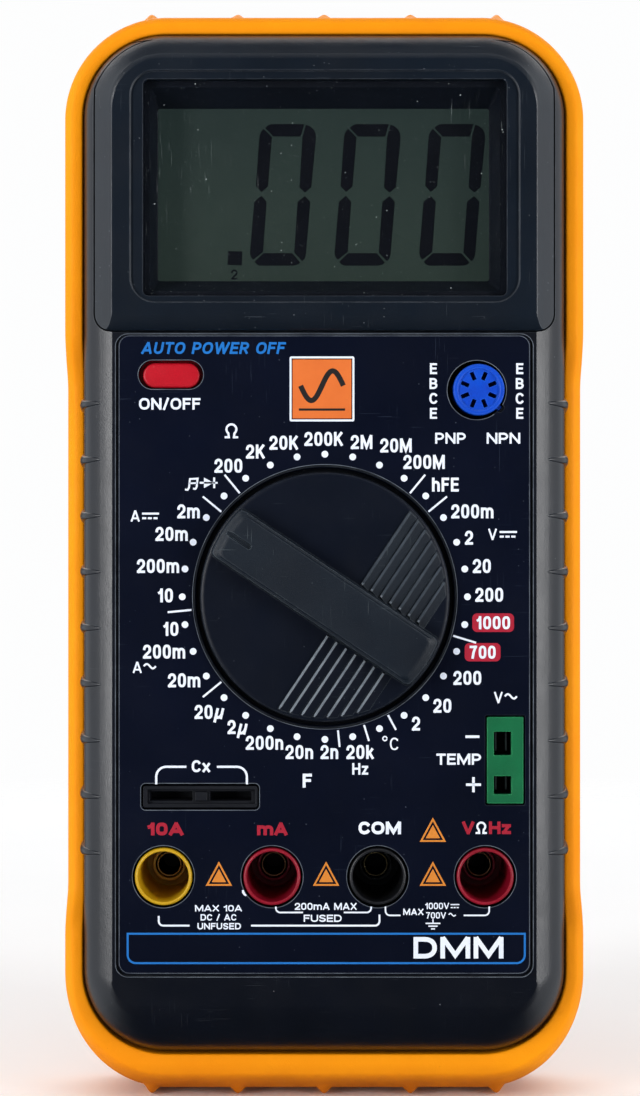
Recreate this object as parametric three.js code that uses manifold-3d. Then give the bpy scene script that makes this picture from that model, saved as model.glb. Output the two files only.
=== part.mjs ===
// Handheld digital multimeter in a rubber holster, standing on the holster's foot ribs.
// Millimetres, +Z up. Every piece is laid out in a "flat" frame: x to the right, y along the
// length towards the display, z out of the face, with z = 0 on the back of the case. The flat
// group is then turned upright, so the face looks along -Y and the length runs along +Z.
import * as THREE from "three";
import { mergeVertices } from "three/addons/utils/BufferGeometryUtils.js";
import Module from "manifold-3d";

const wasm = await Module();
wasm.setup();

// ---------------------------------------------------------------- driving dimensions
const GAP = 0.3; // running and assembly clearance

// case
const CASE_HALF_W = 44.6; // half width over the case sides
const CASE_TOP = 94.3; // case end at the display
const CASE_BOTTOM = -94.3; // case end under the jacks
const CASE_R = 15.4; // plan radius of the case corners
const PARTING = 15.35; // height of the joint between the two half cases
const PANEL_Z = 29.5; // height of the flat front face
const WALL = 2.2; // case wall
const RIBS_PER_SIDE = 9; // grip ribs on each side of the case
const RIB_FIRST = 25.8; // y of the highest grip rib
const RIB_PITCH = 10.29;

// display
const BEZEL_TOP_Z = 31.0;
const BEZEL_HALF_W = 42.0; // the step line between bezel and case
const BEZEL_Y0 = 38.95; // its lower edge
const LENS = [-32.7, 32.9, 45.5, 84.3]; // x0 x1 y0 y1 of the clear window
const GROOVE = [-35.3, 35.5, 44.0, 86.1]; // shallow step round the window
const LCD_VIEW = [-30.8, 30.5, 48.7, 80.65]; // visible part of the liquid crystal
const LCD_Z = 23.0; // its front surface

// front label
const OVERLAY = [-37.6, 37.6, -78.43, 38.17];
const OVERLAY_T = 0.4;

// range switch
const DIAL = [0.1, -9.6];
const DIAL_HOLE_R = 23.97;
const KNOB_R = 22.7;
const KNOB_DISC_Z = 31.4;
const KNOB_TOP_Z = 35.0;
const BAR_W = 10.4;
const POINTER_DEG = 56.25; // pointer turned to the left of straight up
const POSITIONS = 32;

// sockets
const JACK_Y = -60.64;
const JACK_X = [-29.34, -9.54, 9.74, 29.34];
const JACK_HOLE_R = 5.69;
const SLEEVE_R = 5.25;
const SLEEVE_BORE_R = 4.6;
const BOSS_R = 3.15;
const BOSS_Z = 13.7;
const CONTACT_R = 2.3;
const CONTACT_BORE_R = 2.05;

// circuit board
const PCB_Z0 = 8.0;
const PCB_Z1 = 9.6;

// holster
const HOL_SIDE = 3.8; // wall outside the case at the sides
const HOL_TOP = 4.3; // at the top end
const HOL_BOTTOM = 8.3; // at the foot end
const HOL_BACK = -3.0; // back face of the holster's floor
const RIM_HIGH = 23.5; // lip height round both ends
const RIM_LOW = 17.5; // lip height at the waist
const RAIL_X = 38.6; // probe channel centre line
const RAIL_Z = -9.3; // rearmost face of the channels
const FOOT_Y = -103.5; // what the foot ribs stand on
const HEAD_Y = 99.6;
const NUB_X = [-32.4, -16.2, 0, 16.2, 32.4];

// stand
const STAND_Y = 50.0; // hinge line of the large stand
const STAND_Z = -6.3;
const SMALL_Y = 24.0; // hinge line of the small stand
const SMALL_Z = -5.6;

// ---------------------------------------------------------------- geometry helpers
// A closed indexed geometry with only positions and its faces turned outwards.
function closed(geometry) {
  const g = geometry.clone();
  for (const k of Object.keys(g.attributes))
    if (k !== "position") g.deleteAttribute(k);
  g.clearGroups();
  const m = mergeVertices(g, 1e-4);
  const p = m.attributes.position.array;
  const src = m.index.array;
  const idx = [];
  let vol = 0;
  for (let i = 0; i < src.length; i += 3) {
    const [a, b, c] = [src[i], src[i + 1], src[i + 2]];
    if (a === b || b === c || a === c) continue;
    idx.push(a, b, c);
    const [A, B, C] = [a, b, c].map((k) => k * 3);
    vol +=
      p[A] * (p[B + 1] * p[C + 2] - p[B + 2] * p[C + 1]) -
      p[A + 1] * (p[B] * p[C + 2] - p[B + 2] * p[C]) +
      p[A + 2] * (p[B] * p[C + 1] - p[B + 1] * p[C]);
  }
  if (vol < 0)
    for (let i = 0; i < idx.length; i += 3)
      [idx[i + 1], idx[i + 2]] = [idx[i + 2], idx[i + 1]];
  return new THREE.BufferGeometry()
    .setAttribute("position", new THREE.BufferAttribute(p, 3))
    .setIndex(idx);
}

function solid(geometry) {
  const g = closed(geometry);
  return new wasm.Manifold(
    new wasm.Mesh({
      numProp: 3,
      vertProperties: new Float32Array(g.attributes.position.array),
      triVerts: new Uint32Array(g.index.array),
    }),
  );
}

function back(manifold) {
  const m = manifold.getMesh();
  return new THREE.BufferGeometry()
    .setAttribute(
      "position",
      new THREE.BufferAttribute(new Float32Array(m.vertProperties), 3),
    )
    .setIndex(Array.from(m.triVerts));
}

// base plus the geometries in add, minus the ones in cut
function build(base, add = [], cut = []) {
  let s = solid(base);
  for (const a of add) s = s.add(solid(a));
  for (const c of cut) s = s.subtract(solid(c));
  return back(s);
}

// Box from corner to corner.
function box(x0, x1, y0, y1, z0, z1) {
  return new THREE.BoxGeometry(x1 - x0, y1 - y0, z1 - z0).translate(
    (x0 + x1) / 2,
    (y0 + y1) / 2,
    (z0 + z1) / 2,
  );
}

// Cylinder along z.
function rod(x, y, r, z0, z1, n = 24) {
  return new THREE.CylinderGeometry(r, r, z1 - z0, n)
    .rotateX(Math.PI / 2)
    .translate(x, y, (z0 + z1) / 2);
}

// Cylinder along x.
function rodX(x0, x1, y, z, r, n = 16) {
  return new THREE.CylinderGeometry(r, r, x1 - x0, n)
    .rotateZ(Math.PI / 2)
    .translate((x0 + x1) / 2, y, z);
}

// Cylinder along y.
function rodY(x, z, r, y0, y1, n = 20) {
  return new THREE.CylinderGeometry(r, r, y1 - y0, n).translate(
    x,
    (y0 + y1) / 2,
    z,
  );
}

// Turned piece round the z axis from [radius, z] pairs.
function turned(x, y, profile, n = 24) {
  return new THREE.LatheGeometry(
    profile.map(([r, z]) => new THREE.Vector2(r, z)),
    n,
  )
    .rotateX(Math.PI / 2)
    .translate(x, y, 0);
}

// Plan points of a rounded rectangle, anticlockwise, k steps on each corner.
function roundRect(x0, x1, y0, y1, rTop, rBottom = rTop, k = 6) {
  const corners = [
    [x1 - rTop, y1 - rTop, rTop, 0],
    [x0 + rTop, y1 - rTop, rTop, 90],
    [x0 + rBottom, y0 + rBottom, rBottom, 180],
    [x1 - rBottom, y0 + rBottom, rBottom, 270],
  ];
  const points = [];
  for (const [cx, cy, r, a0] of corners)
    for (let i = 0; i <= k; i++) {
      const a = ((a0 + (90 * i) / k) * Math.PI) / 180;
      points.push([cx + r * Math.cos(a), cy + r * Math.sin(a)]);
    }
  return points;
}

function shapeOf(points) {
  return new THREE.Shape(points.map(([x, y]) => new THREE.Vector2(x, y)));
}

// Prism of a plan outline between two heights.
function prism(points, z0, z1) {
  return new THREE.ExtrudeGeometry(shapeOf(points), {
    depth: z1 - z0,
    bevelEnabled: false,
  }).translate(0, 0, z0);
}

// Closed skin through rings of the same point count, capped at both ends.
function loft(rings) {
  const n = rings[0].length;
  const p = rings.flat(2);
  const index = [];
  for (let r = 0; r + 1 < rings.length; r++)
    for (let i = 0; i < n; i++) {
      const j = (i + 1) % n;
      const a = r * n + i,
        b = r * n + j,
        c = (r + 1) * n + j,
        d = (r + 1) * n + i;
      index.push(a, b, c, a, c, d);
    }
  const last = (rings.length - 1) * n;
  for (let i = 1; i + 1 < n; i++) {
    index.push(0, i + 1, i);
    index.push(last, last + i, last + i + 1);
  }
  return new THREE.BufferGeometry()
    .setAttribute("position", new THREE.BufferAttribute(new Float32Array(p), 3))
    .setIndex(index);
}

// Skin swept round a closed loop: each station holds the same closed section.
function loop(stations) {
  const n = stations[0].length,
    m = stations.length;
  const p = stations.flat(2);
  const index = [];
  for (let s = 0; s < m; s++)
    for (let i = 0; i < n; i++) {
      const j = (i + 1) % n,
        t = (s + 1) % m;
      index.push(s * n + i, s * n + j, t * n + j);
      index.push(s * n + i, t * n + j, t * n + i);
    }
  return new THREE.BufferGeometry()
    .setAttribute("position", new THREE.BufferAttribute(new Float32Array(p), 3))
    .setIndex(index);
}

// Level of the case: plan inset at the sides, top and bottom ends, and corner radii.
function level(z, side, top, bottom, rTop = CASE_R, rBottom = rTop, k = 6) {
  return roundRect(
    -CASE_HALF_W + side,
    CASE_HALF_W - side,
    CASE_BOTTOM + bottom,
    CASE_TOP - top,
    rTop,
    rBottom,
    k,
  ).map(([x, y]) => [x, y, z]);
}

// Wire or cord of round section along points.
function wire(points, r, sides = 8, steps = 24) {
  const section = [];
  for (let i = 0; i < sides; i++) {
    const a = (2 * Math.PI * i) / sides;
    section.push([r * Math.cos(a), r * Math.sin(a)]);
  }
  return new THREE.ExtrudeGeometry(shapeOf(section), {
    steps,
    bevelEnabled: false,
    extrudePath: new THREE.CatmullRomCurve3(
      points.map(([x, y, z]) => new THREE.Vector3(x, y, z)),
    ),
  });
}

// ---------------------------------------------------------------- materials
const COLOURS = {
  rubber_orange: [0xf2960f, 0.62, 0],
  abs_dark: [0x23272e, 0.5, 0],
  abs_black: [0x14161a, 0.45, 0],
  bezel: [0x1c222c, 0.38, 0],
  label: [0x0a0f1c, 0.35, 0],
  lens: [0x8fa09a, 0.08, 0],
  knob: [0x15181d, 0.5, 0],
  red: [0xc81c2d, 0.4, 0],
  blue: [0x0b4be0, 0.4, 0],
  green: [0x00823f, 0.45, 0],
  yellow: [0xc39a14, 0.42, 0],
  jack_red: [0xb0122c, 0.42, 0],
  jack_black: [0x0d0e10, 0.45, 0],
  brass: [0xb08d4a, 0.3, 1],
  steel: [0x9a9da1, 0.32, 1],
  pcb: [0x1f5a34, 0.5, 0],
  lcd: [0x56655c, 0.15, 0],
  zebra: [0x2a2a2c, 0.7, 0],
  battery: [0x2c2c30, 0.4, 0.3],
  glass: [0xdfe6e6, 0.05, 0],
  lead_red: [0xb3201e, 0.5, 0],
  lead_black: [0x141414, 0.5, 0],
  copper: [0xb26a3c, 0.35, 1],
  white: [0xd9d4c4, 0.5, 0],
};

const flat = new THREE.Group();
function piece(name, colour, geometry) {
  const [color, roughness, metalness] = COLOURS[colour];
  const mesh = new THREE.Mesh(
    closed(geometry),
    new THREE.MeshStandardMaterial({ color, roughness, metalness }),
  );
  mesh.name = name;
  flat.add(mesh);
  return mesh;
}

// ---------------------------------------------------------------- rear case
const SCREWS = [
  [0, 89.7],
  [-37.0, -84.5],
  [37.0, -84.5],
];
const rearOuter = loft([
  level(0, 2.4, 2.4, 2.4, 13),
  level(0.5, 1.1, 1.1, 1.1, 14.3),
  level(2.2, 0.25, 0.25, 0.25, 15.2),
  level(PARTING - 0.15, 0, 0, 0),
]);
const rearInner = loft([
  level(2.0, WALL + 0.9, WALL + 0.9, WALL + 0.9, 12.3),
  level(3.4, WALL + 0.1, WALL + 0.1, WALL + 0.1, 13.1),
  level(PARTING + 1, WALL, WALL, WALL, 13.2),
]);
let rear = solid(rearOuter).subtract(solid(rearInner));
for (const [x, y] of SCREWS)
  rear = rear
    .add(solid(rod(x, y, 3.6, 0.2, PARTING - 0.15, 16)))
    .subtract(solid(rod(x, y, 1.9, -1, 20, 12)))
    .subtract(solid(rod(x, y, 3.1, -1, 3.7, 12)));
// battery well walls
for (const w of [
  box(-30.5, -29.5, 60, 85, 1.8, 12),
  box(-29.0, 16.0, 56.9, 58.2, 1.8, 12),
])
  rear = rear.add(solid(w));
piece("rear_case", "abs_dark", back(rear));

// ---------------------------------------------------------------- front case
const frontOuter = loft([
  level(PARTING + 0.15, 0, 0, 0),
  level(22, 0.1, 0.1, 0.2, 15.3),
  level(25, 0.7, 0.6, 1.3, 14.8),
  level(27.3, 2.2, 1.9, 3.6, 13.5, 12.5),
  level(28.7, 4.2, 3.6, 6.6, 11.2, 9.0),
  level(PANEL_Z, 6.0, 5.0, 9.4, 9.0, 5.0),
]);
const frontInner = loft([
  level(PARTING - 1, WALL, WALL, WALL, 13.2),
  level(23, WALL + 0.5, WALL + 0.5, WALL + 0.6, 12.6),
  level(24.6, WALL + 1.6, WALL + 1.5, WALL + 2.4, 11.6),
  level(27.0, 6.6, 6.0, 10.4, 9.0, 7.0),
]);
let front = solid(frontOuter);
// grip ribs, drop shaped: thick at the parting line, running out towards the face
for (const side of [-1, 1])
  for (let i = 0; i < RIBS_PER_SIDE; i++) {
    const y = RIB_FIRST - i * RIB_PITCH;
    const at = (x, h, z) => [
      [side * 40.4, y - h, z],
      [side * x, y - h * 0.9, z],
      [side * (x + 0.25), y, z],
      [side * x, y + h * 0.9, z],
      [side * 40.4, y + h, z],
    ];
    front = front.add(
      solid(
        loft([at(44.75, 1.15, PARTING + 0.15), at(44.45, 0.95, 21.5), at(43.4, 0.5, 25.6)]),
      ),
    );
  }
front = front.subtract(solid(frontInner));
// seat for the display bezel, which laps over the upper end
front = front
  .subtract(
    solid(prism(roundRect(-42.3, 42.3, BEZEL_Y0 - 0.2, 120, 1, 3.5, 4), 26.6, 40)),
  )
  .subtract(solid(box(-42.3, 42.3, 92.3, 120, 22.0, 40)));
front = front.subtract(solid(box(-37.0, 37.0, 42.4, 87.2, 20, 30)));
// recess for the label
front = front.subtract(
  solid(
    prism(
      roundRect(
        OVERLAY[0] - 0.4,
        OVERLAY[1] + 0.4,
        OVERLAY[2] - 0.4,
        OVERLAY[3] + 0.15,
        2.2,
        2.2,
        3,
      ),
      PANEL_Z - OVERLAY_T - 0.35,
      40,
    ),
  ),
);
// detent ring under the dial, with one notch for each switch position
const notch = [];
for (let i = 0; i < POSITIONS * 2; i++) {
  const a = (Math.PI * i) / POSITIONS;
  const r = i % 2 ? 22.9 : 23.5;
  notch.push([DIAL[0] + r * Math.sin(a), DIAL[1] + r * Math.cos(a)]);
}
front = front
  .add(solid(rod(...DIAL, 25.3, 12.6, 27.2, 32)))
  .subtract(solid(prism(notch, 10, 28)))
  .subtract(solid(rod(...DIAL, DIAL_HOLE_R, 26.6, 40, 40)));
// jack, button and socket openings
for (const x of JACK_X)
  front = front.subtract(solid(rod(x, JACK_Y, JACK_HOLE_R, 20, 40, 20)));
const stadium = (cx, cy, w, h, k = 5) =>
  roundRect(cx - w / 2, cx + w / 2, cy - h / 2, cy + h / 2, h / 2 - 0.001, h / 2 - 0.001, k);
front = front
  .subtract(solid(prism(stadium(-28.0, 31.0, 12.0, 5.4), 20, 40)))
  .subtract(solid(rod(27.65, 28.1, 5.78, 20, 40, 24)))
  .subtract(solid(box(-33.4, -11.8, -48.4, -43.8, 20, 40)))
  .subtract(solid(box(29.35, 36.6, -47.6, -31.2, 20, 40)));
// posts for the circuit board and the case screws
const POSTS = [
  [-38.6, 34.5],
  [38.6, 34.5],
  [-38.6, -52.0],
  [38.6, -52.0],
];
for (const [x, y] of POSTS)
  front = front
    .add(solid(rod(x, y, 2.6, PCB_Z1 + GAP, 27.8, 12)))
    .subtract(solid(rod(x, y, 1.35, 5, 20, 10)));
for (const [x, y] of SCREWS)
  front = front
    .add(solid(rod(x, y, 2.7, PARTING + 0.15, y > 0 ? 26.4 : 24.6, 12)))
    .subtract(solid(rod(x, y, 1.45, 5, 22.5, 10)));
piece("front_case", "abs_dark", back(front));

// ---------------------------------------------------------------- display
// The bezel carries on the rounded shoulders of the case, then rises above its face.
const bezelBody = solid(
  loft([
    level(22.3, 0.1, 0.1, 60, 15.2, 2),
    level(25, 0.7, 0.6, 60, 14.6, 2),
    level(27.3, 2.2, 1.9, 60, 13.2, 2),
    level(28.9, 3.6, 3.2, 60, 11.6, 2),
    level(30.3, 5.0, 4.7, 60, 10.0, 2),
    level(BEZEL_TOP_Z, 6.0, 6.2, 60, 9.0, 2),
  ]),
)
  .intersect(
    solid(
      prism(roundRect(-BEZEL_HALF_W, BEZEL_HALF_W, BEZEL_Y0, 120, 1, 3.3, 5), 20, 40),
    ),
  )
  .subtract(solid(box(-60, 60, 0, 92.6, 20, 26.9)))
  // slope down to the face along the lower edge
  .subtract(
    solid(
      loft([
        [[-60, 30, 29.6], [60, 30, 29.6], [60, BEZEL_Y0, 29.6], [-60, BEZEL_Y0, 29.6]],
        [[-60, 30, 31.6], [60, 30, 31.6], [60, 40.9, 31.6], [-60, 40.9, 31.6]],
      ]),
    ),
  );
piece(
  "display_bezel",
  "bezel",
  build(
    back(bezelBody),
    [],
    [
      prism(roundRect(LENS[0] - GAP, LENS[1] + GAP, LENS[2] - GAP, LENS[3] + GAP, 1.0, 1.0, 2), 20, 40),
      prism(roundRect(GROOVE[0], GROOVE[1], GROOVE[2], GROOVE[3], 4.5, 1.2, 4), 30.45, 40),
      // the frame below seats in this rebate
      box(-36.6, 36.6, 42.8, 86.9, 20, 28.6),
    ],
  ),
);
piece(
  "lcd_window",
  "lens",
  prism(roundRect(LENS[0], LENS[1], LENS[2], LENS[3], 0.9, 0.9, 2), 28.8, 30.3),
);
piece(
  "lcd_frame",
  "abs_black",
  build(
    box(-36.2, 36.2, 43.2, 86.5, 20.2, 28.2),
    [],
    [
      loft([
        roundRect(LCD_VIEW[0], LCD_VIEW[1], LCD_VIEW[2], LCD_VIEW[3], 0.6, 0.6, 5).map((q) => q.concat(22.9)),
        roundRect(LENS[0] + 0.6, LENS[1] - 0.6, LENS[2] + 0.6, LENS[3] - 0.6, 0.8, 0.8, 5).map((q) => q.concat(29)),
      ]),
      box(-33.8, 33.8, 46.1, 83.3, 19, 23.3),
      box(-31.2, 31.2, 44.2, 49.0, 19, 20.7),
    ],
  ),
);
piece("lcd_panel", "lcd", box(-33.5, 33.5, 46.4, 83.0, 20.8, LCD_Z));
piece("zebra_strip", "zebra", box(-30.0, 30.0, 46.8, 48.6, PCB_Z1 + GAP, 20.5));

// ---------------------------------------------------------------- label
const holes = [
  rod(...DIAL, 24.3, 20, 40, 40),
  prism(stadium(-28.0, 31.0, 12.4, 5.8), 20, 40),
  rod(27.65, 28.1, 5.95, 20, 40, 24),
  box(-33.6, -11.6, -48.6, -43.6, 20, 40),
  box(29.35, 36.6, -47.6, -31.2, 20, 40),
  ...JACK_X.map((x) => rod(x, JACK_Y, 5.9, 20, 40, 20)),
];
piece(
  "panel_overlay",
  "label",
  build(
    prism(
      roundRect(OVERLAY[0], OVERLAY[1], OVERLAY[2], OVERLAY[3], 2.0, 2.0, 3),
      PANEL_Z - OVERLAY_T - 0.05,
      PANEL_Z - 0.05,
    ),
    [],
    holes,
  ),
);

// ---------------------------------------------------------------- range switch
// The knob is built with its pointer along +y and turned to the stored position.
const turn = (g) =>
  g.rotateZ((POINTER_DEG * Math.PI) / 180).translate(DIAL[0], DIAL[1], 0);
let knob = solid(
  turned(
    0,
    0,
    [
      [0, 27.9],
      [KNOB_R - 0.4, 27.9],
      [KNOB_R, 28.4],
      [KNOB_R, KNOB_DISC_Z - 0.9],
      [KNOB_R - 0.9, KNOB_DISC_Z],
      [0, KNOB_DISC_Z],
    ],
    40,
  ),
);
const half = BAR_W / 2;
const barPlan = (w, l) => roundRect(-w, w, -l, l, w * 0.62, w * 0.62, 4);
knob = knob.add(
  solid(
    loft([
      barPlan(half, KNOB_R - 0.5).map((q) => q.concat(KNOB_DISC_Z - 0.5)),
      barPlan(half, KNOB_R - 0.5).map((q) => q.concat(KNOB_TOP_Z - 0.9)),
      barPlan(half - 0.8, KNOB_R - 1.4).map((q) => q.concat(KNOB_TOP_Z)),
    ]),
  ),
);
// grip flutes on both sides of the bar, on the half away from the pointer
for (const side of [-1, 1])
  for (let i = 0; i < 7; i++) {
    const y = -4.6 - i * 2.03;
    const far = Math.sqrt(20.6 * 20.6 - (Math.abs(y) + 0.4) ** 2);
    if (far < 6.4) continue;
    const [a, b] = side > 0 ? [5.8, far] : [-far, -5.8];
    knob = knob.add(solid(box(a, b, y - 0.45, y + 0.45, 31.2, 31.9)));
  }
// pointer groove
knob = knob.subtract(solid(box(-0.45, 0.45, 15.9, 23, KNOB_TOP_Z - 0.5, 40)));
// hub with a square key
knob = knob
  .add(solid(rod(0, 0, 7.0, 19.0, 28.2, 16)))
  .add(solid(box(-3.9, 3.9, -3.9, 3.9, 15.0, 19.2)));
piece("selector_knob", "knob", turn(back(knob)));

// The contact carrier turns with the knob just above the circuit board.
const carrierPockets = [];
for (const a of [0, Math.PI])
  carrierPockets.push(
    rodY(0, 15.9, 1.7, 13.2, 23, 12).rotateZ(a),
  );
piece(
  "wiper_carrier",
  "white",
  turn(
    build(
      rod(0, 0, 20.6, 12.4, 18.4, 36),
      [],
      [
        box(-4.2, 4.2, -4.2, 4.2, 10, 20),
        ...carrierPockets,
        // lightening pockets between the spokes
        prism(roundRect(-15.5, -6.5, -6, 6, 2, 2, 3), 14.4, 20),
        prism(roundRect(6.5, 15.5, -6, 6, 2, 2, 3), 14.4, 20),
      ],
    ),
  ),
);
for (const [n, a] of [
  [1, 0],
  [2, Math.PI],
]) {
  piece(
    "detent_ball_" + n,
    "steel",
    turn(
      new THREE.SphereGeometry(1.35, 10, 6).translate(0, 21.25, 15.9).rotateZ(a),
    ),
  );
  const helix = [];
  for (let i = 0; i <= 24; i++) {
    const t = i / 24;
    helix.push([
      1.0 * Math.cos(t * 6 * Math.PI),
      14.0 + t * 5.3,
      15.9 + 1.0 * Math.sin(t * 6 * Math.PI),
    ]);
  }
  piece("detent_spring_" + n, "steel", turn(wire(helix, 0.22, 4, 26).rotateZ(a)));
}
const WIPERS = [
  [17.0, 25],
  [13.0, 145],
  [9.0, 265],
];
WIPERS.forEach(([r, deg], i) => {
  const bow = new THREE.Shape(
    [
      [-5, 11.6],
      [-3.2, 11.6],
      [-1.2, 10.6],
      [1.2, 10.6],
      [3.2, 11.6],
      [5, 11.6],
      [5, 12.0],
      [3.1, 12.0],
      [1.1, 11.0],
      [-1.1, 11.0],
      [-3.1, 12.0],
      [-5, 12.0],
    ].map(([x, z]) => new THREE.Vector2(x, z)),
  );
  piece(
    "wiper_contact_" + (i + 1),
    "brass",
    turn(
      new THREE.ExtrudeGeometry(bow, { depth: 2.2, bevelEnabled: false })
        .translate(0, 0, -1.1)
        .rotateX(Math.PI / 2)
        .translate(0, r, 0)
        .rotateZ((deg * Math.PI) / 180),
    ),
  );
});

// ---------------------------------------------------------------- power switch
piece(
  "power_button",
  "red",
  build(
    loft([
      stadium(-27.9, 30.8, 10.5, 4.56).map((q) => q.concat(25.0)),
      stadium(-27.9, 30.8, 10.5, 4.56).map((q) => q.concat(28.5)),
      stadium(-27.9, 30.8, 9.7, 3.8).map((q) => q.concat(29.0)),
    ]),
    [box(-34.2, -21.8, 27.6, 34.0, 25.0, 26.2)],
  ),
);
piece(
  "power_switch_body",
  "abs_black",
  build(
    box(-32.0, -24.0, 27.0, 35.0, PCB_Z1 + GAP, 20.5),
    [],
    [box(-30.4, -25.6, 28.6, 33.4, 11.2, 22)],
  ),
);
piece(
  "power_switch_plunger",
  "white",
  build(
    box(-30.0, -26.0, 29.0, 33.0, 14.2, 22.6),
    [box(-29.2, -26.8, 29.8, 32.2, 22.4, 24.7)],
    [],
  ),
);

// ---------------------------------------------------------------- sockets
const slots = [];
for (let i = 0; i < 8; i++)
  slots.push(
    box(-0.77, 0.77, -0.385, 0.385, 24.5, 40)
      .translate(2.69, 0, 0)
      .rotateZ(((22.5 + 45 * i) * Math.PI) / 180)
      .translate(28.2, 28.2, 0),
  );
piece(
  "hfe_socket",
  "blue",
  build(
    turned(
      28.2,
      28.2,
      [
        [0, 20.5],
        [4.7, 20.5],
        [4.7, 29.2],
        [4.4, 29.6],
        [3.8, 29.6],
        [3.6, 29.2],
        [0, 29.2],
      ],
      28,
    ),
    [box(4.2, 5.3, -0.5, 0.5, 20.5, 28.6).rotateZ(-0.72).translate(28.2, 28.2, 0)],
    slots,
  ),
);
piece(
  "temp_socket",
  "green",
  build(
    box(29.65, 36.3, -47.3, -31.5, 20.0, 29.55),
    [],
    [box(30.9, 34.1, -38.5, -34.2, 22.5, 40), box(30.9, 34.1, -45.6, -42.3, 22.5, 40)],
  ),
);
piece(
  "cx_socket",
  "abs_black",
  build(
    box(-33.1, -12.1, -48.1, -44.1, 20.0, 29.2),
    [],
    [
      box(-32.4, -24.3, -46.75, -45.9, 23, 40),
      box(-21.6, -13.2, -46.75, -45.9, 23, 40),
      box(-32.8, -12.4, -47.4, -45.2, 28.7, 40),
    ],
  ),
);
["10a", "ma", "com", "vohm"].forEach((n, i) => {
  const x = JACK_X[i];
  piece(
    "jack_sleeve_" + n,
    ["yellow", "jack_red", "jack_black", "jack_red"][i],
    turned(
      x,
      JACK_Y,
      [
        [CONTACT_R + GAP, PCB_Z1 + GAP],
        [SLEEVE_R, PCB_Z1 + GAP],
        [SLEEVE_R, 29.6],
        [SLEEVE_BORE_R, 29.6],
        [SLEEVE_BORE_R, 11.4],
        [BOSS_R, 11.4],
        [BOSS_R, BOSS_Z],
        [CONTACT_R + GAP, BOSS_Z],
        [CONTACT_R + GAP, PCB_Z1 + GAP],
      ],
      18,
    ),
  );
  piece(
    "jack_contact_" + n,
    "brass",
    turned(
      x,
      JACK_Y,
      [
        [0, 3.4],
        [CONTACT_R, 3.4],
        [CONTACT_R, 13.5],
        [CONTACT_BORE_R, 13.5],
        [CONTACT_BORE_R, 4.2],
        [0, 4.2],
      ],
      12,
    ),
  );
});

// ---------------------------------------------------------------- circuit board and parts
const pcbPlan = roundRect(-41.2, 41.2, -79.5, 55.8, 3, 9, 3);
piece(
  "main_pcb",
  "pcb",
  build(
    prism(pcbPlan, PCB_Z0, PCB_Z1),
    [],
    [
      ...JACK_X.map((x) => rod(x, JACK_Y, CONTACT_R + GAP, 5, 12, 12)),
      ...POSTS.map(([x, y]) => rod(x, y, 1.35, 5, 12, 10)),
    ],
  ),
);
POSTS.forEach(([x, y], i) => {
  if (i === 3) return; // the fourth post only locates the board
  piece(
    "pcb_screw_" + (i + 1),
    "steel",
    build(
      rod(x, y, 1.05, 7.2, 15.5, 10),
      [rod(x, y, 2.3, 6.2, 7.6, 14)],
      [box(x - 1.6, x + 1.6, y - 0.25, y + 0.25, 6, 6.7), box(x - 0.25, x + 0.25, y - 1.6, y + 1.6, 6, 6.7)],
    ),
  );
});
SCREWS.forEach(([x, y], i) =>
  piece(
    "case_screw_" + (i + 1),
    "steel",
    build(
      rod(x, y, 1.15, 3.2, 21.5, 10),
      [turned(x, y, [[0, 1.0], [2.5, 1.0], [2.7, 1.4], [2.7, 2.2], [1.1, 3.4], [0, 3.4]], 14)],
      [box(x - 1.7, x + 1.7, y - 0.3, y + 0.3, 0, 1.9), box(x - 0.3, x + 0.3, y - 1.7, y + 1.7, 0, 1.9)],
    ),
  ),
);
piece(
  "adc_chip",
  "abs_black",
  box(-7.5, 7.5, 24, 31, PCB_Z1 + GAP, 12.4),
);
piece("opamp_chip", "abs_black", box(14, 24, 17.0, 23.0, PCB_Z1 + GAP, 12.6));
piece(
  "trimmer",
  "blue",
  build(
    box(-20.5, -13.5, 19, 26, PCB_Z1 + GAP, 14.4),
    [],
    [box(-19, -15, 22.3, 22.9, 13.8, 15)],
  ),
);
piece(
  "buzzer",
  "brass",
  build(rod(20, 10, 10.2, 2.5, 3.0, 24), [rod(20, 10, 7.2, 2.8, 3.4, 20)], []),
);
// 10 A shunt: a bent wire between the 10 A and common contacts
piece(
  "shunt_wire",
  "copper",
  wire(
    [
      [-26.4, -64.5, 7.5],
      [-26.4, -64.7, 4.6],
      [-24.0, -65.0, 3.3],
      [-9.8, -66.5, 3.2],
      [4.4, -65.0, 3.3],
      [6.8, -64.7, 4.6],
      [6.8, -64.5, 7.5],
    ].map(([x, y, z]) => [x, y - 1.5, z + 0.1]),
    0.8,
    6,
    16,
  ),
);
// fuse: glass tube with two end caps, in two spring clips on the front of the board
const FUSE_Y = -74.4,
  FUSE_Z = 14.2;
piece("fuse_glass", "glass", rodX(-2.6, 12.6, FUSE_Y, FUSE_Z, 2.45, 12));
for (const [n, x0, x1] of [
  [1, -8.3, -2.9],
  [2, 12.9, 18.3],
]) {
  piece("fuse_cap_" + n, "steel", rodX(x0, x1, FUSE_Y, FUSE_Z, 2.6, 12));
  const c = (x0 + x1) / 2;
  piece(
    "fuse_clip_" + n,
    "brass",
    build(
      box(c - 2, c + 2, FUSE_Y - 3.5, FUSE_Y + 3.5, PCB_Z1 + GAP, 16.6),
      [],
      [box(c - 3, c + 3, FUSE_Y - 3.0, FUSE_Y + 3.0, 10.3, 20)],
    ),
  );
}

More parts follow.
